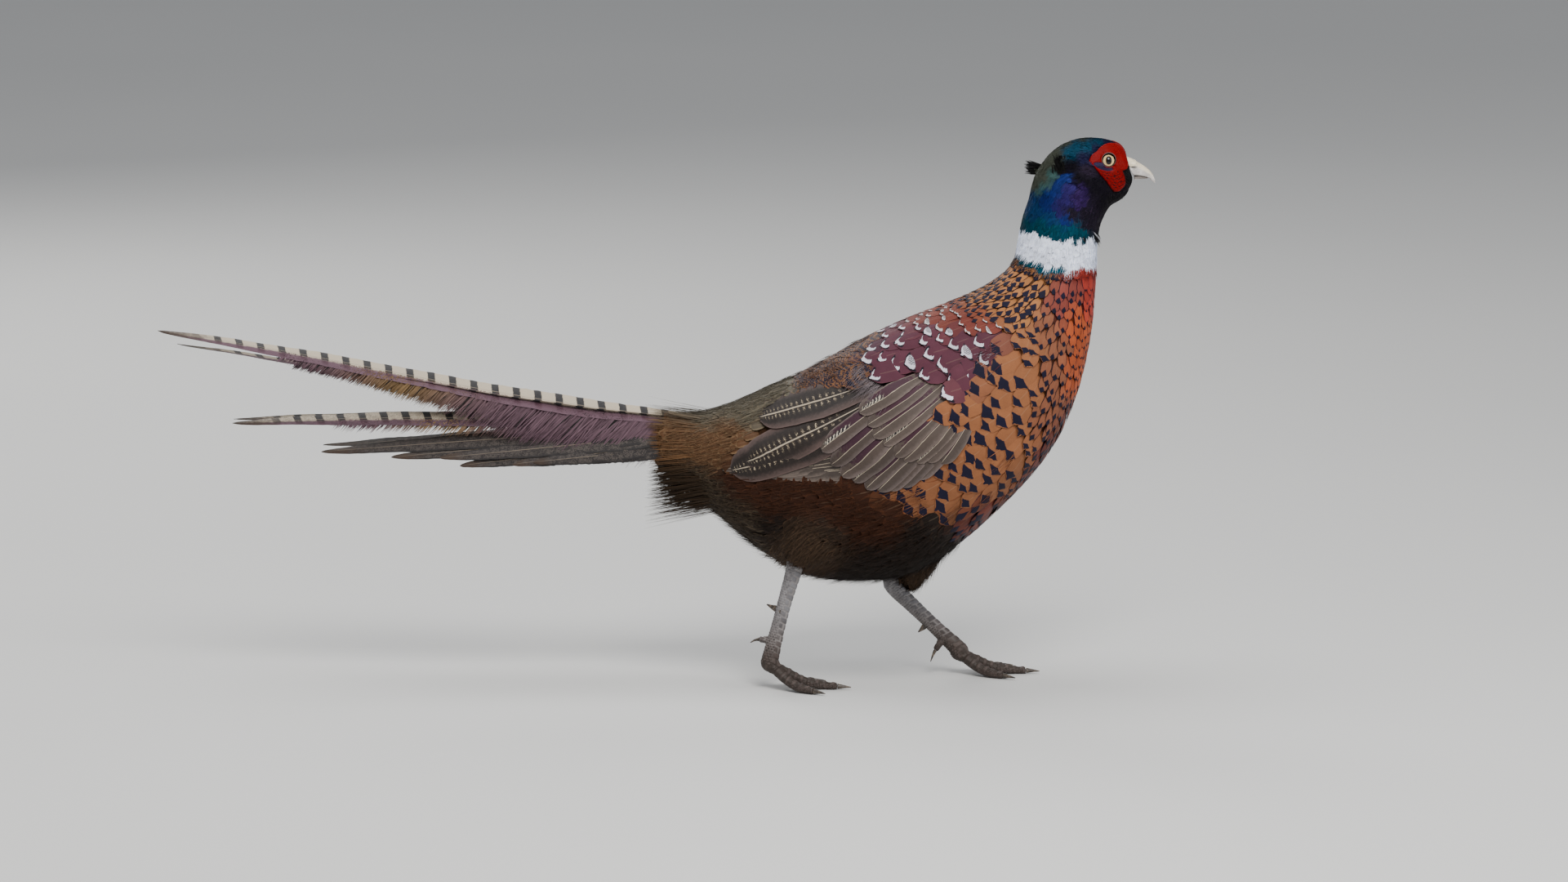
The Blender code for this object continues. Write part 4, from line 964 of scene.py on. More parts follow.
def hair_coat(hide, roots, normals, heading, plumage, turn, material):
    """Fine barbs of the head, and the loose ones of the rump, belly, thighs and vent."""
    sectors = 6
    for sector in range(sectors):
        low, high = -pi + tau * sector / sectors, -pi + tau * (sector + 1) / sectors
        pick = (turn >= low) & (turn < high + 1e-6)
        number = np.where(plumage[pick, 0] < 2.6, 15, HAIRS)
        whose, root, ahead = strands(roots[pick], heading[pick], normals[pick], number, 0.12,
                                     plumage[pick, 0] * 0.42)
        kinds = plumage[pick][whose]
        long = kinds[:, 0] * kinds[:, 1] * CHANCE.uniform(0.55, 1.1, len(root))
        clear = (over_wing(root + ahead * long[:, None]) <= 0) & ~under_face(root)
        root, ahead, kinds, long = root[clear], ahead[clear], kinds[clear], long[clear]
        count = len(root)
        fine = kinds[:, 0] < 2.6
        depth = coat_depth(root) * np.where(fine, CHANCE.uniform(0.75, 1.25, count),
                                            CHANCE.uniform(0.5, 1.1, count))
        loose = ease(150, 110, root[:, 2]) * (CHANCE.random(count) < 0.35)
        stand = loose * CHANCE.uniform(1.0, 4.5, count)
        half = CHANCE.uniform(0.16, 0.36, count) * np.clip(kinds[:, 0] / 4.4, 0.62, 1)
        points = lay(hide, root, ahead, long, half, 0.1, depth, 3, 2, "hair", 0.0,
                     stand=stand)
        looks = looks_of(kinds, 1 + CHANCE.normal(0, 0.22, count))
        feather_piece(f"coat_hair_{sector}", points, looks, root_patches(root, low, high),
                      material)


# Head

EYE = (308.9, 363.8)
EYE_RADIUS = 5.3
LID_HOLE = 4.1
GAPE = ((318, 352.4), (324, 350.6), (330, 349.6), (336, 349.2), (342, 348.6))   # x and z
WATTLE = (
    (-5, 12.0), (-18, 13.6), (-28, 14.0), (-41, 11.8), (-50, 17.0), (-57, 21.0), (-72, 23.3),
    (-80, 22.6), (-88, 18.0), (-97, 14.2), (-112, 11.8), (-133, 10.5), (-155, 10.6),
    (-176, 13.5), (-196, 11.6), (-212, 9.4), (-248, 9.4), (-283, 9.8), (-309, 10.8),
    (-330, 11.2),
)


def wattle_reach(degrees):
    """Reach of the bare skin from the eye, by degrees from forward, turning up."""
    turns, reaches = np.array(WATTLE, float).T
    return np.interp((np.asarray(degrees) - 5) % 360, (turns[::-1] - 5) % 360, reaches[::-1],
                     period=360)


STRIP = ((-9.3, -3.0), (1.8, -6.4))      # its ends from the eye, x and z
STRIP_REACH = (6.9, 2.3)                 # half length and half height


def dark_strip(x, z):
    """1 on the strip of dark feathers that crosses the bare skin under the eye."""
    start, end = (np.array(p) for p in STRIP)
    run = (end - start) / np.linalg.norm(end - start)
    from_middle = np.stack([x - EYE[0], z - EYE[1]], -1) - (start + end) / 2
    along = (from_middle @ run) / STRIP_REACH[0]
    beside = (from_middle @ np.array([-run[1], run[0]])) / STRIP_REACH[1]
    return ease(1.08, 0.86, np.hypot(along, beside))


def from_grain(flat, pitch):
    """Distance to the nearest of scattered points about pitch apart, as a share of pitch."""
    cells = np.floor(flat / pitch)
    nearest = np.full(len(flat), 9.0)
    for step in np.ndindex(3, 3):
        cell = cells + np.array(step) - 1
        scattered = np.modf(abs(np.sin(cell @ np.array([[12.9898, 26.95], [78.233, 18.33]]))
                                * 43758.5453))[0]
        gap = np.linalg.norm(flat / pitch - cell - 0.15 - 0.7 * scattered, axis=1)
        nearest = np.minimum(nearest, gap)
    return nearest


def wattle_piece(head, side_name, material):
    """Bare face skin with pimples, soft folds and a raised ring round the eye."""
    side = SIDES[side_name]
    rings, spokes = 60, 220
    step, turn = np.meshgrid(np.linspace(0, 1, rings), np.linspace(0, tau, spokes, endpoint=False),
                             indexing="ij")
    reach = LID_HOLE + 0.1 + (wattle_reach(np.degrees(turn)) + 0.4 - LID_HOLE) * step
    x, z = EYE[0] + reach * np.cos(turn), EYE[1] + reach * np.sin(turn)
    flat = np.stack([x, z], -1).reshape(-1, 2)
    place, normal = head.from_side(flat, side)
    low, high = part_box("eye_" + side_name)
    from_lid = reach - LID_HOLE
    round_eye = ease(2.6, 0.5, from_lid).reshape(-1, 1)
    lid_level = side * (abs(low[1] + high[1]) / 2 / MM + (EYE_RADIUS ** 2 - LID_HOLE ** 2) ** 0.5)
    lid_place = np.stack([flat[:, 0], np.full(len(flat), lid_level), flat[:, 1]], 1)
    place += (lid_place - place) * round_eye
    normal = unit(normal + (np.array([0.0, side, 0.0]) - normal) * round_eye)
    pimple = ease(0.62, 0.12, from_grain(flat, 0.62)).reshape(rings, spokes)
    lid = np.exp(-((from_lid - 0.7) / 0.42) ** 2)
    second = np.exp(-((from_lid - 2.3) / 0.5) ** 2) * 0.25
    lobe = ease(-6, -10, z - EYE[1])
    across = x - EYE[0]
    bent = (z - EYE[1]) * 2.9 + 1.7 * np.sin(across * 0.62 + 0.5 * z) + (
        1.2 * np.sin(across * 1.7 - 1.3 * z) + 0.9 * np.sin(across * 3.3 + 1.9 * z))
    wrinkle = -0.34 * lobe * ease(0.55, 0.95, np.cos(bent))
    fold = wrinkle * ease(0.15, 0.4, step) * ease(1.0, 0.8, step)
    body = 0.65 + 0.45 * ease(0.08, 0.35, step) * ease(1.0, 0.82, step)
    rim = ease(1.0, 0.93, step)
    strip = dark_strip(x, z) * ease(1.2, 1.7, from_lid)
    height = (body + fold + 0.16 * pimple * ease(0.1, 0.22, step)) * rim + 0.45 * lid + second
    height = height * (1 - strip) + 0.25 * strip - 0.7 * (1 - rim)
    inner = ease(0.0, 0.035, step)
    height = height * inner + (1 - inner) * -1.2
    outer = place + normal * height.reshape(-1, 1)
    sunk = place - normal * 2.4
    points = np.concatenate([outer, sunk])
    index = np.arange(rings * spokes).reshape(rings, spokes)
    after = np.roll(index, -1, 1)
    top = np.stack([index[:-1], index[1:], after[1:], after[:-1]], -1).reshape(-1, 4)
    base = rings * spokes
    last = np.stack([index[-1], index[-1] + base, after[-1] + base, after[-1]], -1)
    first = np.stack([index[0], after[0], after[0] + base, index[0] + base], -1)
    faces = np.concatenate([top, top[:, ::-1] + base, last, first])
    if side > 0:
        faces = faces[:, ::-1]
    # How raised the skin is, lower in the folds; the finish turns it into painted highlight and painted
    # shade.
    flesh = (0.42 + 0.4 * pimple + fold * 2.2 + lid * 0.2) * rim
    values = {"raised": np.append(flesh.ravel(), np.zeros(base)),
              "from_lid": np.append(from_lid.ravel(), np.full(base, 9.0)),
              "strip": np.append(strip.ravel(), np.zeros(base))}
    mesh = solid_mesh("wattle", points, [faces], {}, values, sharp=False)
    new_piece("face_skin_" + side_name, mesh, material, ("wattle_" + side_name,))


def eye_piece(side_name, material):
    """The eyeball, marked by its angle from the middle of the pupil."""
    low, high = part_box("eye_" + side_name)
    centre = np.array((low + high) / 2) / MM
    side = SIDES[side_name]
    look = unit(np.array([0.08, side * 0.98, 0.17]))
    rings, spokes = 40, 64
    turns = np.linspace(0, tau, spokes, endpoint=False)
    first = unit(np.cross(look, (0, 0, 1)))
    second = np.cross(look, first)
    p, t = np.meshgrid(np.linspace(0.004, pi - 0.004, rings), turns, indexing="ij")
    bulge = EYE_RADIUS * (1 + 0.035 * np.exp(-(p / 0.5) ** 2))
    points = centre + bulge[..., None] * (np.cos(p)[..., None] * look + np.sin(p)[..., None] * (
        np.cos(t)[..., None] * first + np.sin(t)[..., None] * second))
    index = np.arange(rings * spokes).reshape(rings, spokes)
    after = np.roll(index, -1, 1)
    sphere = np.stack([index[:-1], index[1:], after[1:], after[:-1]], -1).reshape(-1, 4)
    ends = [(ring[0], ring[k + 1], ring[k]) for ring in (index[0][::-1], index[-1])
            for k in range(1, spokes - 1)]
    values = {"from_pupil": p.ravel(), "pupil_edge": (p / (1 + 0.45 * np.sin(t) ** 2)).ravel(),
              "round_pupil": np.cos(t).ravel()}
    mesh = solid_mesh("eye", points.reshape(-1, 3), [sphere, np.array(ends)], {}, values, False)
    new_piece("eyeball_" + side_name, mesh, material, ("eye_" + side_name,))


def bill_pieces(material):
    """Both halves of the bill, smoothed, with a soft flap over the nostril, and painted shade along the
    cutting edge and in the nostril slit.
    """
    for name in ("bill_upper", "bill_lower"):
        upper = name == "bill_upper"
        mesh = fused((name,), 0.26, 6)
        points, normals, _ = read_mesh(mesh)
        points[:, 0] -= ease(326, 321, points[:, 0]) * 1.6
        if not upper:
            points[:, 2] += 0.65 + 0.045 * np.maximum(points[:, 0] - 326, 0)
        out = (abs(points[:, 1]) > 2.2) & upper
        flap = np.hypot((points[:, 0] - 324.4) / 3.6, (points[:, 2] - 360.8) / 3.0)
        cere = ease(1.12, 0.86, flap) * out
        # The nostril slit: dented, and painted dark as its shade.
        pit = ease(1.2, 0.5, np.hypot((points[:, 0] - 326.2) / 2.4,
                                      (points[:, 2] - 357.2) / 0.6)) * out
        points += normals * (0.45 * cere - 0.5 * pit)[:, None]
        # A band 1.2 mm wide along the gape line, painted as shade.
        from_edge = (points[:, 2] - curve_height(GAPE, points[:, 0])) * (1 if upper else -1)
        edge = ease(1.2, 0.3, from_edge) * ease(340, 336, points[:, 0])
        mesh.vertices.foreach_set("co", (points * MM).astype(np.float32).ravel())
        for label, value in (("cere", cere), ("pit", pit), ("cutting_edge", edge)):
            mesh.attributes.new(label, "FLOAT", "POINT").data.foreach_set(
                "value", value.astype(np.float32))
        mesh.shade_smooth()
        new_piece(name + "_horn", mesh, material, (name,))


def blades(root, aim, normal, long, half, stations, shape, droop=(0.0, 0.0, 0.0), thick=0.14):
    """Free-standing narrow blades from their roots along aim, flat to the normals."""
    side = across_of(aim, normal)
    points = np.empty((len(root), stations, 3, 3))
    for i in range(stations):
        t = i / (stations - 1)
        centre = root + aim * (long * t)[:, None] + np.array(droop) * t * t
        width = (half * profile(shape, t))[:, None]
        points[:, i, 0], points[:, i, 1] = centre - side * width, centre + side * width
        points[:, i, 2] = centre - normal * thick * (1.1 - t)
    return points


def plain_looks(colour, tint):
    """Values for plain narrow blades of one colour, each with its own tint."""
    colour = np.broadcast_to(colour, (len(tint), 3)) * np.asarray(tint)[:, None]
    none = np.zeros((len(tint), 1))
    return {"ground": np.hstack([colour, none]), "edge": np.hstack([colour, none]),
            "mark": np.hstack([colour, none]), "spot": np.tile((1.0, 0.01, 0.01, 0.0), (len(tint), 1))}


# Loose tufts: name, root x and z, its scatter, way (outward is positive), length, half width,
# number, depth of the roots, colour.
TUFTS = (
    ("ear", ("right",), (276.3, 355.0), (1.4, 1.2), (-0.05, 0.24, 0.97), 11.5, 0.6, 240, 1.4,
     (0.0012, 0.0012, 0.0016)),
    ("ear", ("left",), (266.0, 352.5), (1.2, 1.6), (-0.92, 0.46, 0.14), 13.0, 0.6, 240, 1.4,
     (0.0012, 0.0012, 0.0016)),
    ("throat_dark", ("right", "left"), (300.0, 312.0), (1.0, 1.4), (0.46, 0.10, -0.86), 8.0, 0.4,
     60, 0.6, (0.003, 0.002, 0.004)),
    ("throat_white", ("right",), (298.0, 314.0), (0.15, 0.35), (0.66, 0.26, -0.72), 9.5, 0.17,
     4, -1.0, (0.5, 0.5, 0.54)),
    ("under_eye", ("right", "left"), (303.4, 360.4), (2.4, 0.55), (-0.92, 0.06, 0.30), 3.8, 0.24,
     110, -0.5, (0.020, 0.014, 0.046)),
    ("gape", ("right", "left"), (319.5, 352.0), (1.4, 1.6), (0.85, 0.20, -0.40), 4.6, 0.16, 120,
     1.4, (0.0015, 0.0015, 0.002)),
    ("chin", ("right", "left"), (315.0, 339.5), (4.0, 2.0), (-0.10, 0.35, -0.90), 3.6, 0.28, 140,
     1.4, (0.002, 0.0015, 0.003)),
)


def loose_tufts(head, hide, material):
    """Ear tufts, and the loose dark feathers at the gape, chin and throat."""
    for name, side_names, place, scatter_by, way, long, half, number, deep, colour in TUFTS:
        for side_name in side_names:
            side = SIDES[side_name]
            flat = np.array(place) + CHANCE.normal(0, scatter_by, (number, 2))
            skin = hide if name.startswith("throat") else head
            root, normal = skin.from_side(flat, side)
            loose = 0.11 if name == "ear" else 0.05
            aim = unit(np.array(way) * (1, side, 1) + CHANCE.normal(0, loose, (number, 3)))
            points = blades(root - normal * deep, aim, normal,
                            long * CHANCE.uniform(0.95 - 4 * loose, 1.1, number),
                            half * CHANCE.uniform(0.7, 1.2, number), 5, "wisp",
                            (-0.9 * (name == "ear"), 0, -0.3))
            feather_piece(f"tuft_{name}_{side_name}", points,
                          plain_looks(colour, CHANCE.uniform(0.6, 1.5, number)),
                          root_patches(root, -pi, pi), material)


# Wings

# Rows of flight feathers and coverts in side view: tips and roots at the lower, middle and
# upper feather, number, half width, heights at root and tip, and their look.
WING_ROWS = (
    ("primary", ((118, 150), (82, 151), (46, 152.5)), ((196, 158), (160, 163), (118, 174)),
     12, 6.6, 0.8, 2.2),
    ("tertial", ((53, 153.5), (63, 160), (72, 186.5)), ((142, 188), (148, 204), (154, 216)),
     3, 12.5, 1.6, 3.4),
    ("greater", ((176, 152), (144, 145.5), (114, 170)), ((206, 184), (188, 192), (166, 212)),
     9, 6.8, 0.8, 3.8),
    ("median", ((194, 164), (162, 170), (140, 196)), ((216, 196), (204, 208), (184, 222)),
     9, 6.0, 1.0, 4.6),
)
WING_LOOKS = {   # ground, edge, stripe colour, then stripe and dots
    "primary": ((0.045, 0.033, 0.027), (0.100, 0.076, 0.063), (0.05, 0.035, 0.025), 0.0, 0.0),
    "tertial": ((0.011, 0.0065, 0.005), (0.060, 0.038, 0.033), (0.02, 0.015, 0.01), 0.0, 1.0),
    "greater": ((0.058, 0.040, 0.032), (0.105, 0.078, 0.070), (0.034, 0.008, 0.018), 1.0, 0.0),
    "median": ((0.064, 0.045, 0.036), (0.108, 0.080, 0.068), (0.038, 0.008, 0.018), 1.0, 0.0),
}


def three_point(points, t):
    """A smooth value through three points at t = 0, 0.5 and 1."""
    a, b, c = np.array(points, float)
    return a * (1 - t) * (1 - 2 * t) + b * 4 * t * (1 - t) + c * t * (2 * t - 1)


def wing_vane(hide, side, root, tip, half, low, high, tilt, pointed, stations=26, columns=13):
    """One wing feather over the flank; its lower edge stands over the next feather."""
    run = unit(tip - root)
    over = np.array([-run[1], run[0]])
    u = np.linspace(-1, 1, columns)
    points = np.empty((stations, columns + 1, 3))
    wave = CHANCE.uniform(-1, 1, 2) * 0.05
    reach = np.linalg.norm(tip - root)
    round_from = 1 - 1.25 * half / reach
    for i in range(stations):
        t = 1 - (1 - i / (stations - 1)) ** 1.6
        turned = max(0.0, (t - round_from) / (1 - round_from))
        shape = profile("wing", t) * max(0.1, 1 - turned ** 2.4) ** 0.5
        shape *= 1 - 0.6 * pointed * ease(0.55, 1.0, t)
        centre = root + (tip - root) * t + over * half * (0.10 * sin(pi * t) + wave[0] * t)
        flat = centre + over * (u * half * shape)[:, None]
        place, normal = hide.from_side(flat, side)
        lift = low + (high - low) * ease(0, 0.6, t) - 0.4 * t ** 3
        height = lift + tilt * u * ease(0, 0.3, t) - 0.35 * u ** 2 + (
            0.22 * np.exp(-(u / 0.10) ** 2) * (1 - t))
        points[i, :columns] = place + normal * height[:, None]
        middle = columns // 2
        points[i, columns] = place[middle] + normal[middle] * (height[middle] - 0.3 * (1.1 - t))
    return points


def wing_piece(hide, side_name, material, plumage):
    side = SIDES[side_name]
    feathers, looks = [], []
    for row, tips, roots, count, half, low, high in WING_ROWS:
        for k in range(count):
            t = k / (count - 1)
            size = half * (0.94 + 0.10 * sin(2.2 * k + 1))
            root, tip = three_point(roots, t), three_point(tips, t)
            tip = tip + CHANCE.uniform(-1, 1, 2) * (1.2 if count > 3 else 0.0)
            feathers.append(wing_vane(hide, side, root, tip, size, low + 0.05 * k, high + 0.05 * k,
                                      0.6, row == "primary"))
            ground, edge, mark, stripe, dots = WING_LOOKS[row]
            tint = CHANCE.normal(1, 0.08)
            patched = 1.0 if row in ("greater", "median") and k % 3 == 2 else 0.0
            looks.append([*(np.array(ground) * tint), 0, *(np.array(edge) * tint), 0, *mark, 0,
                          stripe, dots, patched, 0])
    feathers, looks = np.array(feathers), np.array(looks)
    if side > 0:
        feathers[:, :, :-1] = feathers[:, :, -2::-1]
    count = len(feathers)
    across = 6
    rows = -(-count // across)
    corner = np.stack([np.arange(count) % across / across, np.arange(count) // across / rows], 1)
    size = np.broadcast_to([0.94 / across, 0.96 / rows], (count, 2))
    values = {"ground": looks[:, :4], "edge": looks[:, 4:8], "mark": looks[:, 8:12],
              "spot": looks[:, 12:]}
    feather_piece("wing_feathers_" + side_name, feathers, values,
                  np.concatenate([corner + 0.004, size], 1), material,
                  ("wing_" + side_name,), np.full(count, side > 0))
    wing_fluff(hide, side_name, plumage)


FLUFF = 170              # loose barbs over the roots of the tertials


def wing_fluff(hide, side_name, material):
    """Loose grey-mauve down where the scapulars end over the tertials."""
    side = SIDES[side_name]
    t = CHANCE.random(FLUFF)
    flat = np.array((140, 222)) + t[:, None] * np.array((20, -16)) + CHANCE.normal(0, 1.6, (FLUFF, 2))
    root, normal = hide.from_side(flat, side)
    turn = radians(1) * CHANCE.normal(52, 18, FLUFF)
    heading = np.stack([-np.cos(turn), np.zeros(FLUFF), -np.sin(turn)], 1)
    points = lay(hide, root, heading, CHANCE.uniform(8, 22, FLUFF), CHANCE.uniform(0.07, 0.15, FLUFF),
                 3.4, CHANCE.uniform(0.6, 1.6, FLUFF), 5, 2, "hair", 0.0)
    feather_piece("wing_fluff_" + side_name, points,
                  plain_looks((0.16, 0.130, 0.138), CHANCE.uniform(0.7, 1.4, FLUFF)),
                  root_patches(root, -pi, pi), material)


# Tail

# Pairs from the middle out: tip x, y, z, root y, root z, width, roll outward and bow.
TAIL_PAIRS = (
    (-341, 2, 244, 2.4, 184.5, 25, 26, -2), (-290, 9, 181, 5.4, 180.5, 20, 34, 4),
    (-229, 15, 162, 8.2, 178.5, 20, 41, 0.5), (-181, 20, 159, 10.8, 176.3, 19, 47, 0),
    (-148, 23, 159, 13, 173.8, 18, 52, 0), (-134, 25, 154, 15, 171.2, 17, 57, 0),
    (-98, 25.5, 155, 16.6, 168.5, 16, 61, 0), (-84, 25, 156.5, 17.8, 165.5, 15, 65, 0),
)
TAIL_SWING = 1.8
TAIL_SPLIT = (13.0, -9.8)
TAIL_ROOT_X = 14.0


def tail_path(index, side, t):
    """Middle line of a tail feather; t is 0 at its root under the coverts."""
    tip_x, tip_y, tip_z, root_y, root_z, _, _, bow = TAIL_PAIRS[index]
    if index == 0 and side > 0:
        tip_x, tip_z, root_z = tip_x + TAIL_SPLIT[0], tip_z + TAIL_SPLIT[1], root_z - 2.2
    root = np.array([TAIL_ROOT_X, root_y * side * 0.8, root_z - 0.6])
    tip = np.array([tip_x, tip_y * side, tip_z])
    rise = bow * 4 * t * (1 - t) - (TAIL_SWING * np.sin(tau * t) if index == 0 else 0)
    return root + (tip - root) * t[:, None] + np.stack([0 * t, 0 * t, rise], 1)


def tail_frame(index, side, t):
    """Path, way across from left to right, up and half width along a tail feather."""
    path = tail_path(index, side, t)
    ahead = unit(np.gradient(path, axis=0))
    level = unit(np.cross(ahead, (0, 0, 1)))
    up = np.cross(level, ahead)
    width, roll = TAIL_PAIRS[index][5], radians(TAIL_PAIRS[index][6])
    lean = -roll * side * (1 - 0.2 * t)[:, None]
    across = -(level * np.cos(lean) + up * np.sin(lean))
    over = up * np.cos(lean) - level * np.sin(lean)
    half = width / 2 * np.interp(t, (0, 0.2), (0.6, 1)) * (1 - 0.38 * t) * np.sqrt(
        np.clip(1 - t ** 4, 0, 1)) + 0.25
    return path, across, over, half


def tail_piece(material):
    stations, columns = 90, 13
    t = np.linspace(0, 1, stations)
    u = np.linspace(-1, 1, columns)
    feathers, looks, flipped = [], [], []
    for index in range(len(TAIL_PAIRS)):
        for side in SIDES.values():
            path, out, over, half = tail_frame(index, side, t)
            frayed = 1 + CHANCE.normal(0, 0.025, (stations, 2))
            points = np.empty((stations, columns + 1, 3))
            wave = 0.25 * np.sin(t * 30 + index)
            for k, across in enumerate(u):
                width = half * across * frayed[:, 0 if across < 0 else 1]
                camber = 0.3 - 0.11 * half * across ** 2 + wave * abs(across)
                points[:, k] = path + out * width[:, None] + over * camber[:, None]
            points[:, columns] = path - over * (0.15 + 0.25 * (1 - t))[:, None]
            feathers.append(points)
            flipped.append(side > 0)
            length = np.linalg.norm(path[-1] - path[0])
            middle = index < 2
            ground = (0.52, 0.44, 0.33) if middle else (0.066, 0.053, 0.046)
            edge = (0.115, 0.060, 0.082) if middle else (0.022, 0.017, 0.017)
            looks.append([*ground, 0, *edge, 0, 0.050, 0.014, 0.026, 0, length,
                          1.0 if middle else 0.0, (0.1, 0.5)[index] if middle else 1.0, 0])
    feathers, looks = np.array(feathers), np.array(looks)
    count = len(feathers)
    strip = np.stack([np.arange(count) / count + 0.004, np.full(count, 0.01),
                      np.full(count, 0.9 / count), np.full(count, 0.98)], 1)
    values = {"ground": looks[:, :4], "edge": looks[:, 4:8], "mark": looks[:, 8:12],
              "spot": looks[:, 12:]}
    feather_piece("tail_feathers", feathers, values, strip, material, ("tail",),
                  np.array(flipped))


# Loose barbs of the middle tail feathers: pair, number a side, and their reach by place along it.
FRINGE = (
    (0, 2600, ((0, 36), (0.10, 36), (0.27, 27), (0.42, 17), (0.6, 9), (0.75, 4))),
    (1, 900, ((0, 18), (0.2, 15), (0.5, 9), (0.8, 5))),
)
FRINGE_MAUVE = (0.118, 0.069, 0.088)
FRINGE_GOLD = (0.18, 0.112, 0.052)


def tail_fringe(material):
    """Loose barbs that hang from the outer edges of the two middle pairs."""
    made, roots, colours = [], [], []
    fine = np.linspace(0, 1, 200)
    for index, number, reach in FRINGE:
        for side in SIDES.values():
            t = 0.76 * CHANCE.uniform(0, 1, number) ** 1.25
            rows = [np.stack([np.interp(t, fine, row[:, k]) for k in range(3)], 1)
                    for row in tail_frame(index, side, fine)[:3]]
            wide = np.interp(t, fine, tail_frame(index, side, fine)[3])
            path, outward, over = rows[0], rows[1] * -side, rows[2]
            edge = CHANCE.uniform(0.15, 0.98, number)
            root = path + outward * (wide * edge)[:, None] + over * (0.5 - 0.11 * wide * edge ** 2)[
                :, None]
            slant = CHANCE.normal(0.72, 0.09, number)[:, None]
            aim = unit(np.array([-1.0, 0, 0]) * (1 - 0.35 * slant) + outward * 0.42 * slant
                       - np.array([0, 0, 0.92]) * slant + CHANCE.normal(0, 0.03, (number, 3)))
            long = np.interp(t, *np.array(reach).T) * CHANCE.uniform(0.6, 1.08, number)
            facing = unit(over * 0.55 + outward * 0.8)
            made.append(blades(root, aim, flat_to(facing, aim), long,
                               CHANCE.uniform(0.22, 0.42, number), 4, "hair", (-1.5, 0, -1.2)))
            roots.append(np.stack([t, np.full(number, 0.2 + 0.5 * index + 0.1 * side)], 1))
            gold = np.exp(-((t - 0.52) / 0.10) ** 2)[:, None]
            shade = np.array(FRINGE_MAUVE) * (1 - gold) + np.array(FRINGE_GOLD) * gold
            dark = CHANCE.random((number, 1)) < 0.05
            colours.append(np.where(dark, 0.012, shade))
    points, roots = np.concatenate(made), np.concatenate(roots)
    looks = plain_looks(np.concatenate(colours), CHANCE.uniform(0.65, 1.3, len(points)))
    patches = np.concatenate([roots, np.full((len(points), 2), 0.003)], 1)
    feather_piece("tail_fringe", points, looks, patches, material)


COVERTS = 1300           # long loose barbs from the rump over the roots of the tail
OLIVE, CHESTNUT, UMBER = (0.085, 0.072, 0.050), (0.120, 0.058, 0.024), (0.026, 0.014, 0.006)


def tail_coverts(hide, material):
    """Long hair-like barbs that leave the rump and cover the roots of the tail."""
    near = (hide.points[:, 0] > 13) & (hide.points[:, 0] < 46)
    pick = CHANCE.choice(np.flatnonzero(near), COVERTS)
    root = hide.points[pick] + CHANCE.normal(0, 0.6, (COVERTS, 3))
    root, normal = hide.nearest(root)
    x, y, z = root.T
    rear = np.stack([-np.ones(COVERTS), -y * 0.010, np.interp(z, (152, 188), (-0.16, 0.10))], 1)
    aim = unit(rear + normal * 0.04 + CHANCE.normal(0, 0.05, (COVERTS, 3)))
    long = np.interp(x, (13, 46), (18, 54)) * CHANCE.uniform(0.6, 1.05, COVERTS)
    points = blades(root - normal * 0.4, aim, flat_to(normal, aim), long,
                    CHANCE.uniform(0.22, 0.46, COVERTS), 5, "hair")
    high, low = ease(174, 188, z)[:, None], ease(164, 154, z)[:, None]
    colour = np.array(OLIVE) * high + np.array(UMBER) * low + np.array(CHESTNUT) * (1 - high - low)
    feather_piece("tail_coverts", points, plain_looks(colour, CHANCE.uniform(0.6, 1.5, COVERTS)),
                  root_patches(root, -pi, pi), material)


BELLY_DOWN = 800         # long loose barbs that blur the outline of the belly and the vent
SOOT, FAWN = (0.016, 0.010, 0.007), (0.105, 0.070, 0.045)


def belly_down(hide, material):
    """Soft down that hangs and trails from the underside, paler toward the tail."""
    x, y, z = hide.points.T
    low = z < np.interp(x, (5, 60, 120, 200), (160, 118, 84, 84))
    pick = CHANCE.choice(np.flatnonzero(low & (x > 5) & (x < 196)), BELLY_DOWN)
    root, normal = hide.nearest(hide.points[pick] + CHANCE.normal(0, 0.8, (BELLY_DOWN, 3)))
    rear = np.array((-1.0, 0.0, -0.22)) + CHANCE.normal(0, 0.16, (BELLY_DOWN, 3))
    aim = unit(flat_to(rear, normal) + normal * CHANCE.uniform(0.10, 0.42, (BELLY_DOWN, 1)))
    points = blades(root - normal * 0.5, aim, flat_to(normal, aim),
                    CHANCE.uniform(8, 17, BELLY_DOWN), CHANCE.uniform(0.14, 0.26, BELLY_DOWN),
                    4, "hair", (0, 0, -1.5))
    pale = CHANCE.random(BELLY_DOWN)[:, None] * ease(150, 20, root[:, :1])
    colour = np.array(SOOT) * (1 - pale) + np.array(FAWN) * pale
    feather_piece("belly_down", points, plain_looks(colour, CHANCE.uniform(0.6, 1.5, BELLY_DOWN)),
                  root_patches(root, -pi, pi), material)


# Legs

FOOT_TRACK = 28
LEG_LINES = {     # runs of x, z from the hock down to the toe joint
    "right": ((94.6, 90), (94.4, 84), (86, 54), (82.4, 38), (78, 17)),
    "left": ((163, 70), (162, 64), (178, 46), (195, 30), (208.6, 15)),
}
TOES = ((-31, 35), (3, 46), (36, 37))     # degrees outward and length


def nearest_run(points, line):
    """Along and away from a line of points: distance from its start, gap and the run's frame."""
    best = np.full(len(points), 1e9)
    along = np.zeros(len(points))
    offset, way = np.zeros((len(points), 3)), np.zeros((len(points), 3))
    begun = 0.0
    for start, end in zip(line[:-1], line[1:]):
        run = end - start
        length = np.linalg.norm(run)
        t = np.clip(((points - start) @ run) / length ** 2, 0, 1)
        away = points - start - run * t[:, None]
        gap = np.linalg.norm(away, axis=1)
        closer = gap < best
        best[closer] = gap[closer]
        along[closer] = begun + t[closer] * length
        offset[closer] = away[closer]
        way[closer] = run / length
        begun += length
    return best, along, offset, way


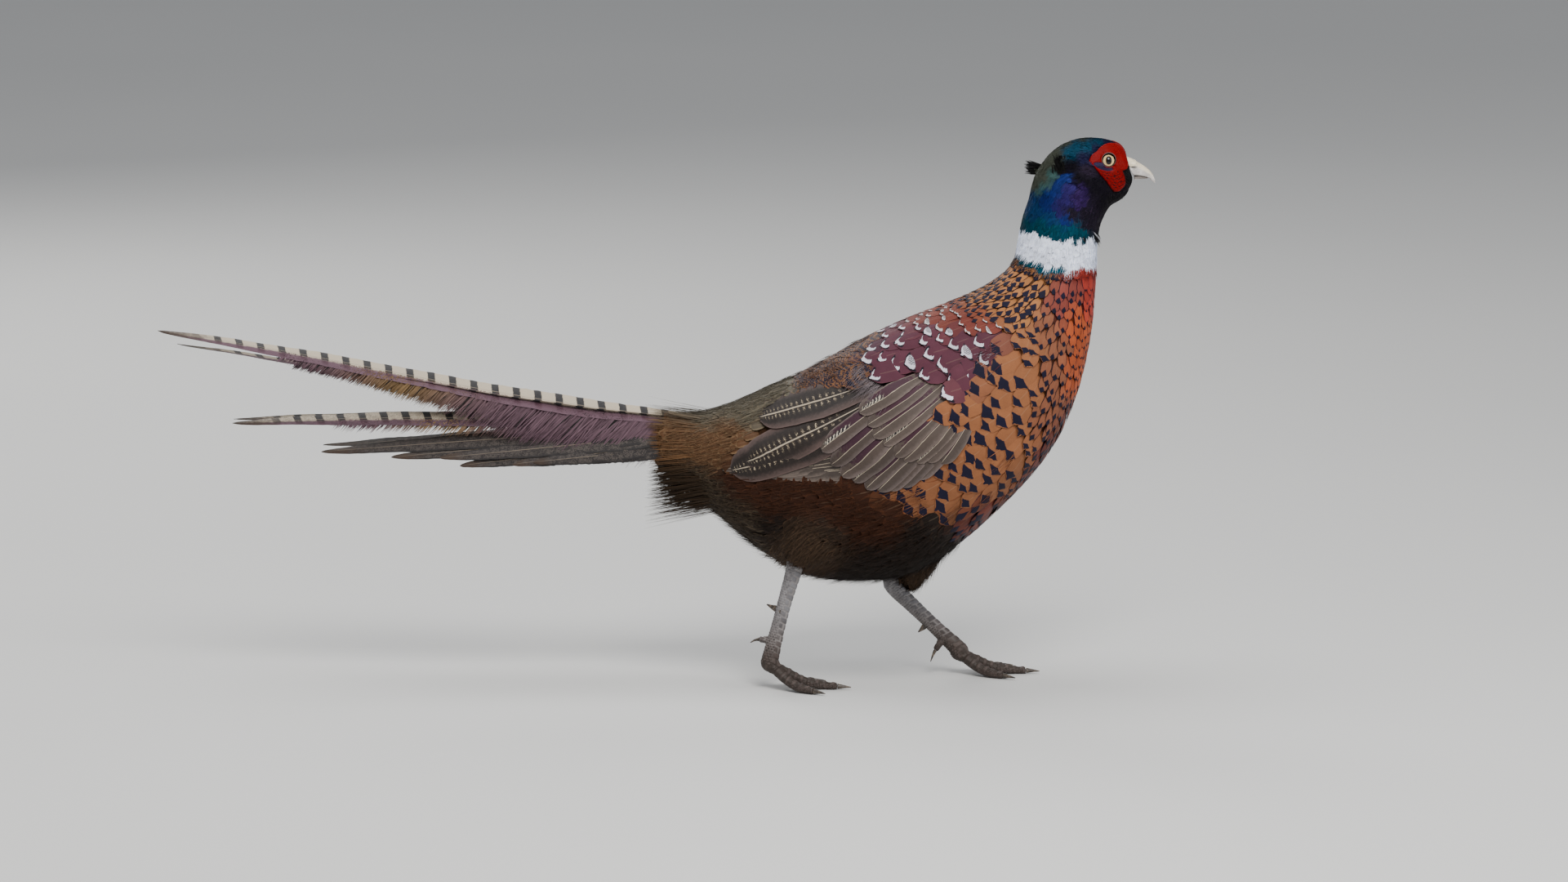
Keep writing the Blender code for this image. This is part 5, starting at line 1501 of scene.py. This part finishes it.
def scute_pattern(along, turn, long, wide):
    """Brick-like scales: 1 in the middle of each and 0 in the creases, and each one's tone."""
    row = np.floor(along / long)
    across = turn / wide + 0.5 * (row % 2)
    cell = np.floor(across)
    f, g = along / long - row, across - cell
    body = ease(0.0, 0.22, np.minimum(f, 1 - f)) * ease(0.0, 0.18, np.minimum(g, 1 - g))
    tone = np.modf(np.sin(row * 12.9898 + cell * 78.233) * 43758.5453)[0]
    return body, abs(tone)


def leg_piece(side_name, material):
    """Shank and foot with broad scutes in front and on the toes, and small ones behind."""
    side = SIDES[side_name]
    mesh = fused(("shank_" + side_name, "foot_" + side_name), 0.5, 6)
    points, normals, _ = read_mesh(mesh)
    shank = [np.array([x, side * FOOT_TRACK, z], float) for x, z in LEG_LINES[side_name]]
    joint = shank[-1]
    lines = [shank]
    for turn, length in TOES:
        heading = np.array([cos(radians(turn)), sin(radians(turn)) * side, 0])
        lines.append([joint + np.array([0, 0, -6.0]), joint * (1, 1, 0) + heading * length * 0.4
                      + (0, 0, 4.5), joint * (1, 1, 0) + heading * length + (0, 0, 3.0)])
    found = [nearest_run(points, line) for line in lines]
    gaps = np.stack([f[0] for f in found], 1)
    which = gaps.argmin(1)
    body, tone = np.zeros(len(points)), np.zeros(len(points))
    for i, (_, along, offset, way) in enumerate(found):
        here = which == i
        lateral = np.array([0, side, 0]) if i == 0 else across_of(way, np.array([0, 0, 1.0]))
        front = np.cross(lateral * np.ones_like(way), way) * (1 if i == 0 else -1)
        ahead = (offset * front).sum(1)
        beside = (offset * lateral).sum(1)
        turn = np.arctan2(beside, ahead if i == 0 else offset[:, 2])
        if i == 0:
            forward = np.sign(front[:, 0:1])
            turn = np.arctan2(beside, ahead * forward[:, 0])
            broad, broad_tone = scute_pattern(along + abs(turn) * 1.5, turn + pi / 2, 4.2, pi / 2)
            small, small_tone = scute_pattern(along, turn, 1.7, pi / 7)
            rear = ease(1.3, 1.6, abs(turn))
            here_body = broad * (1 - rear) + small * rear
            here_tone = np.where(rear > 0.5, small_tone, broad_tone)
        else:
            broad, broad_tone = scute_pattern(along + turn ** 2 * 0.5, turn * 0 + 0.5, 2.7, 1.0)
            small, small_tone = scute_pattern(along, turn, 1.3, pi / 8)
            under = ease(1.15, 1.4, abs(turn))
            here_body = broad * (1 - under) + small * under
            here_tone = np.where(under > 0.5, small_tone, broad_tone)
        body[here], tone[here] = here_body[here], here_tone[here]
    lifted = points[:, 2] > 0.35
    points += normals * ((body * 0.34 - 0.22) * lifted)[:, None]
    points[:, 2] = np.maximum(points[:, 2], 0.0)
    mesh.vertices.foreach_set("co", (points * MM).astype(np.float32).ravel())
    for label, value in (("crease", 1 - body), ("tone", tone)):
        mesh.attributes.new(label, "FLOAT", "POINT").data.foreach_set("value", value.astype(np.float32))
    mesh.shade_smooth()
    new_piece("scaled_leg_" + side_name, mesh, material,
              ("shank_" + side_name, "foot_" + side_name))


def horn_pieces(material):
    """Claws and spurs, rounded and finer than the solids."""
    for name in sorted(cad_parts):
        if name.startswith(("claw_", "spur_")):
            mesh = fused((name,), 0.22, 4)
            mesh.shade_smooth()
            new_piece(name + "_horn", mesh, material, (name,))


# The whole bird

FLESH = ("torso", "neck_ring", "neck", "head", "thigh_right", "thigh_left")
WING_BULGE = 4.0


def hide_piece():
    """One skin for all the flesh, sunk under the solids by the depth of the coat.

    Under the folded wings it rises again, as the shut wing bones fill that place.
    """
    mesh = fused(FLESH, 1.9, 12)
    points, normals, quads = read_mesh(mesh)
    points = points + normals * (WING_BULGE * wing_share(points, 15.0) - coat_depth(points))[:, None]
    mesh.vertices.foreach_set("co", (points * MM).astype(np.float32).ravel())
    mesh.update()
    ground = np.concatenate([plumage_at(points)[:, 2:5], np.ones((len(points), 1))], 1)
    mesh.attributes.new("ground", "FLOAT_COLOR", "POINT").data.foreach_set(
        "color", ground.astype(np.float32).ravel())
    reach, _, turn = along_spine(points)
    place = np.stack([turn / tau + 0.5, reach / SPINE_LENGTH], 1)[quads.ravel()].reshape(-1, 4, 2)
    crosses = np.ptp(place[..., 0], axis=1) > 0.5
    place[..., 0] += crosses[:, None] * (place[..., 0] < 0.5)
    layer = mesh.uv_layers.new(name="OFBake")
    layer.data.foreach_set("uv", (0.01 + place * 0.95).astype(np.float32).ravel())
    mesh.shade_smooth()
    new_piece("hide", mesh, hide_finish(), FLESH)
    return Hide(mesh)


def studio():
    """Pale floor, soft lights and the photograph's camera."""
    mesh = bpy.data.meshes.new("floor")
    wide = 6.0
    mesh.from_pydata([(-wide, -wide, 0), (wide, -wide, 0), (wide, wide, 0), (-wide, wide, 0)], [],
                     [(0, 1, 2, 3)])
    floor = bpy.data.objects.new("floor", mesh)
    floor.location.z = -0.0003
    mesh.materials.append(floor_finish())
    bpy.context.scene.collection.objects.link(floor)

    world = bpy.data.worlds.new("soft_sky")
    world.use_nodes = True
    world.node_tree.nodes["Background"].inputs["Color"].default_value = (0.92, 0.95, 1.0, 1.0)
    world.node_tree.nodes["Background"].inputs["Strength"].default_value = 0.38
    bpy.context.scene.world = world
    middle = Vector((0.06, 0.0, 0.17))
    for name, place, size, power, colour in (
            ("key", (0.5, -1.6, 1.9), 1.1, 56, (1.0, 0.98, 0.95)),
            ("top", (-0.5, 0.2, 2.3), 1.6, 26, (1.0, 1.0, 1.0)),
            ("fill", (1.6, -0.7, 0.8), 1.4, 9, (0.93, 0.96, 1.0)),
            ("back", (-0.8, 1.9, 1.3), 1.3, 20, (1.0, 0.99, 0.97))):
        light = bpy.data.lights.new(name, "AREA")
        light.shape = "DISK"
        light.size, light.energy, light.color = size, power, colour
        lamp = bpy.data.objects.new(name, light)
        lamp.location = place
        lamp.rotation_euler = (middle - Vector(place)).to_track_quat("-Z", "Y").to_euler()
        bpy.context.scene.collection.objects.link(lamp)

    distance, elevation, seen_width, sensor = 7.0, radians(9), 1.0752, 36.0
    target = Vector((0.0876, 0.0, 0.1673))
    camera = bpy.data.cameras.new("camera")
    camera.sensor_width = sensor
    camera.lens = sensor * distance / seen_width
    camera.clip_end = 50.0
    holder = bpy.data.objects.new("camera", camera)
    holder.location = target + Vector((0, -cos(elevation), sin(elevation))) * distance
    holder.rotation_euler = (target - holder.location).to_track_quat("-Z", "Y").to_euler()
    bpy.context.scene.collection.objects.link(holder)
    bpy.context.scene.camera = holder


def dress():
    studio()
    hide = hide_piece()
    head = Hide(fused(("head",), 1.0, 3))
    plumage, flight, barred = plumage_finish(), flight_finish(), tail_finish()
    feather_coat(hide, plumage)
    red, wet = wattle_finish(), eye_finish()
    scales = leg_finish()
    for side_name in SIDES:
        wing_piece(hide, side_name, flight, plumage)
        wattle_piece(head, side_name, red)
        eye_piece(side_name, wet)
        leg_piece(side_name, scales)
    loose_tufts(head, hide, plumage)
    tail_piece(barred)
    tail_fringe(plumage)
    tail_coverts(hide, plumage)
    bill_pieces(bill_finish())
    horn_pieces(claw_finish())
    belly_down(hide, plumage)


dress()
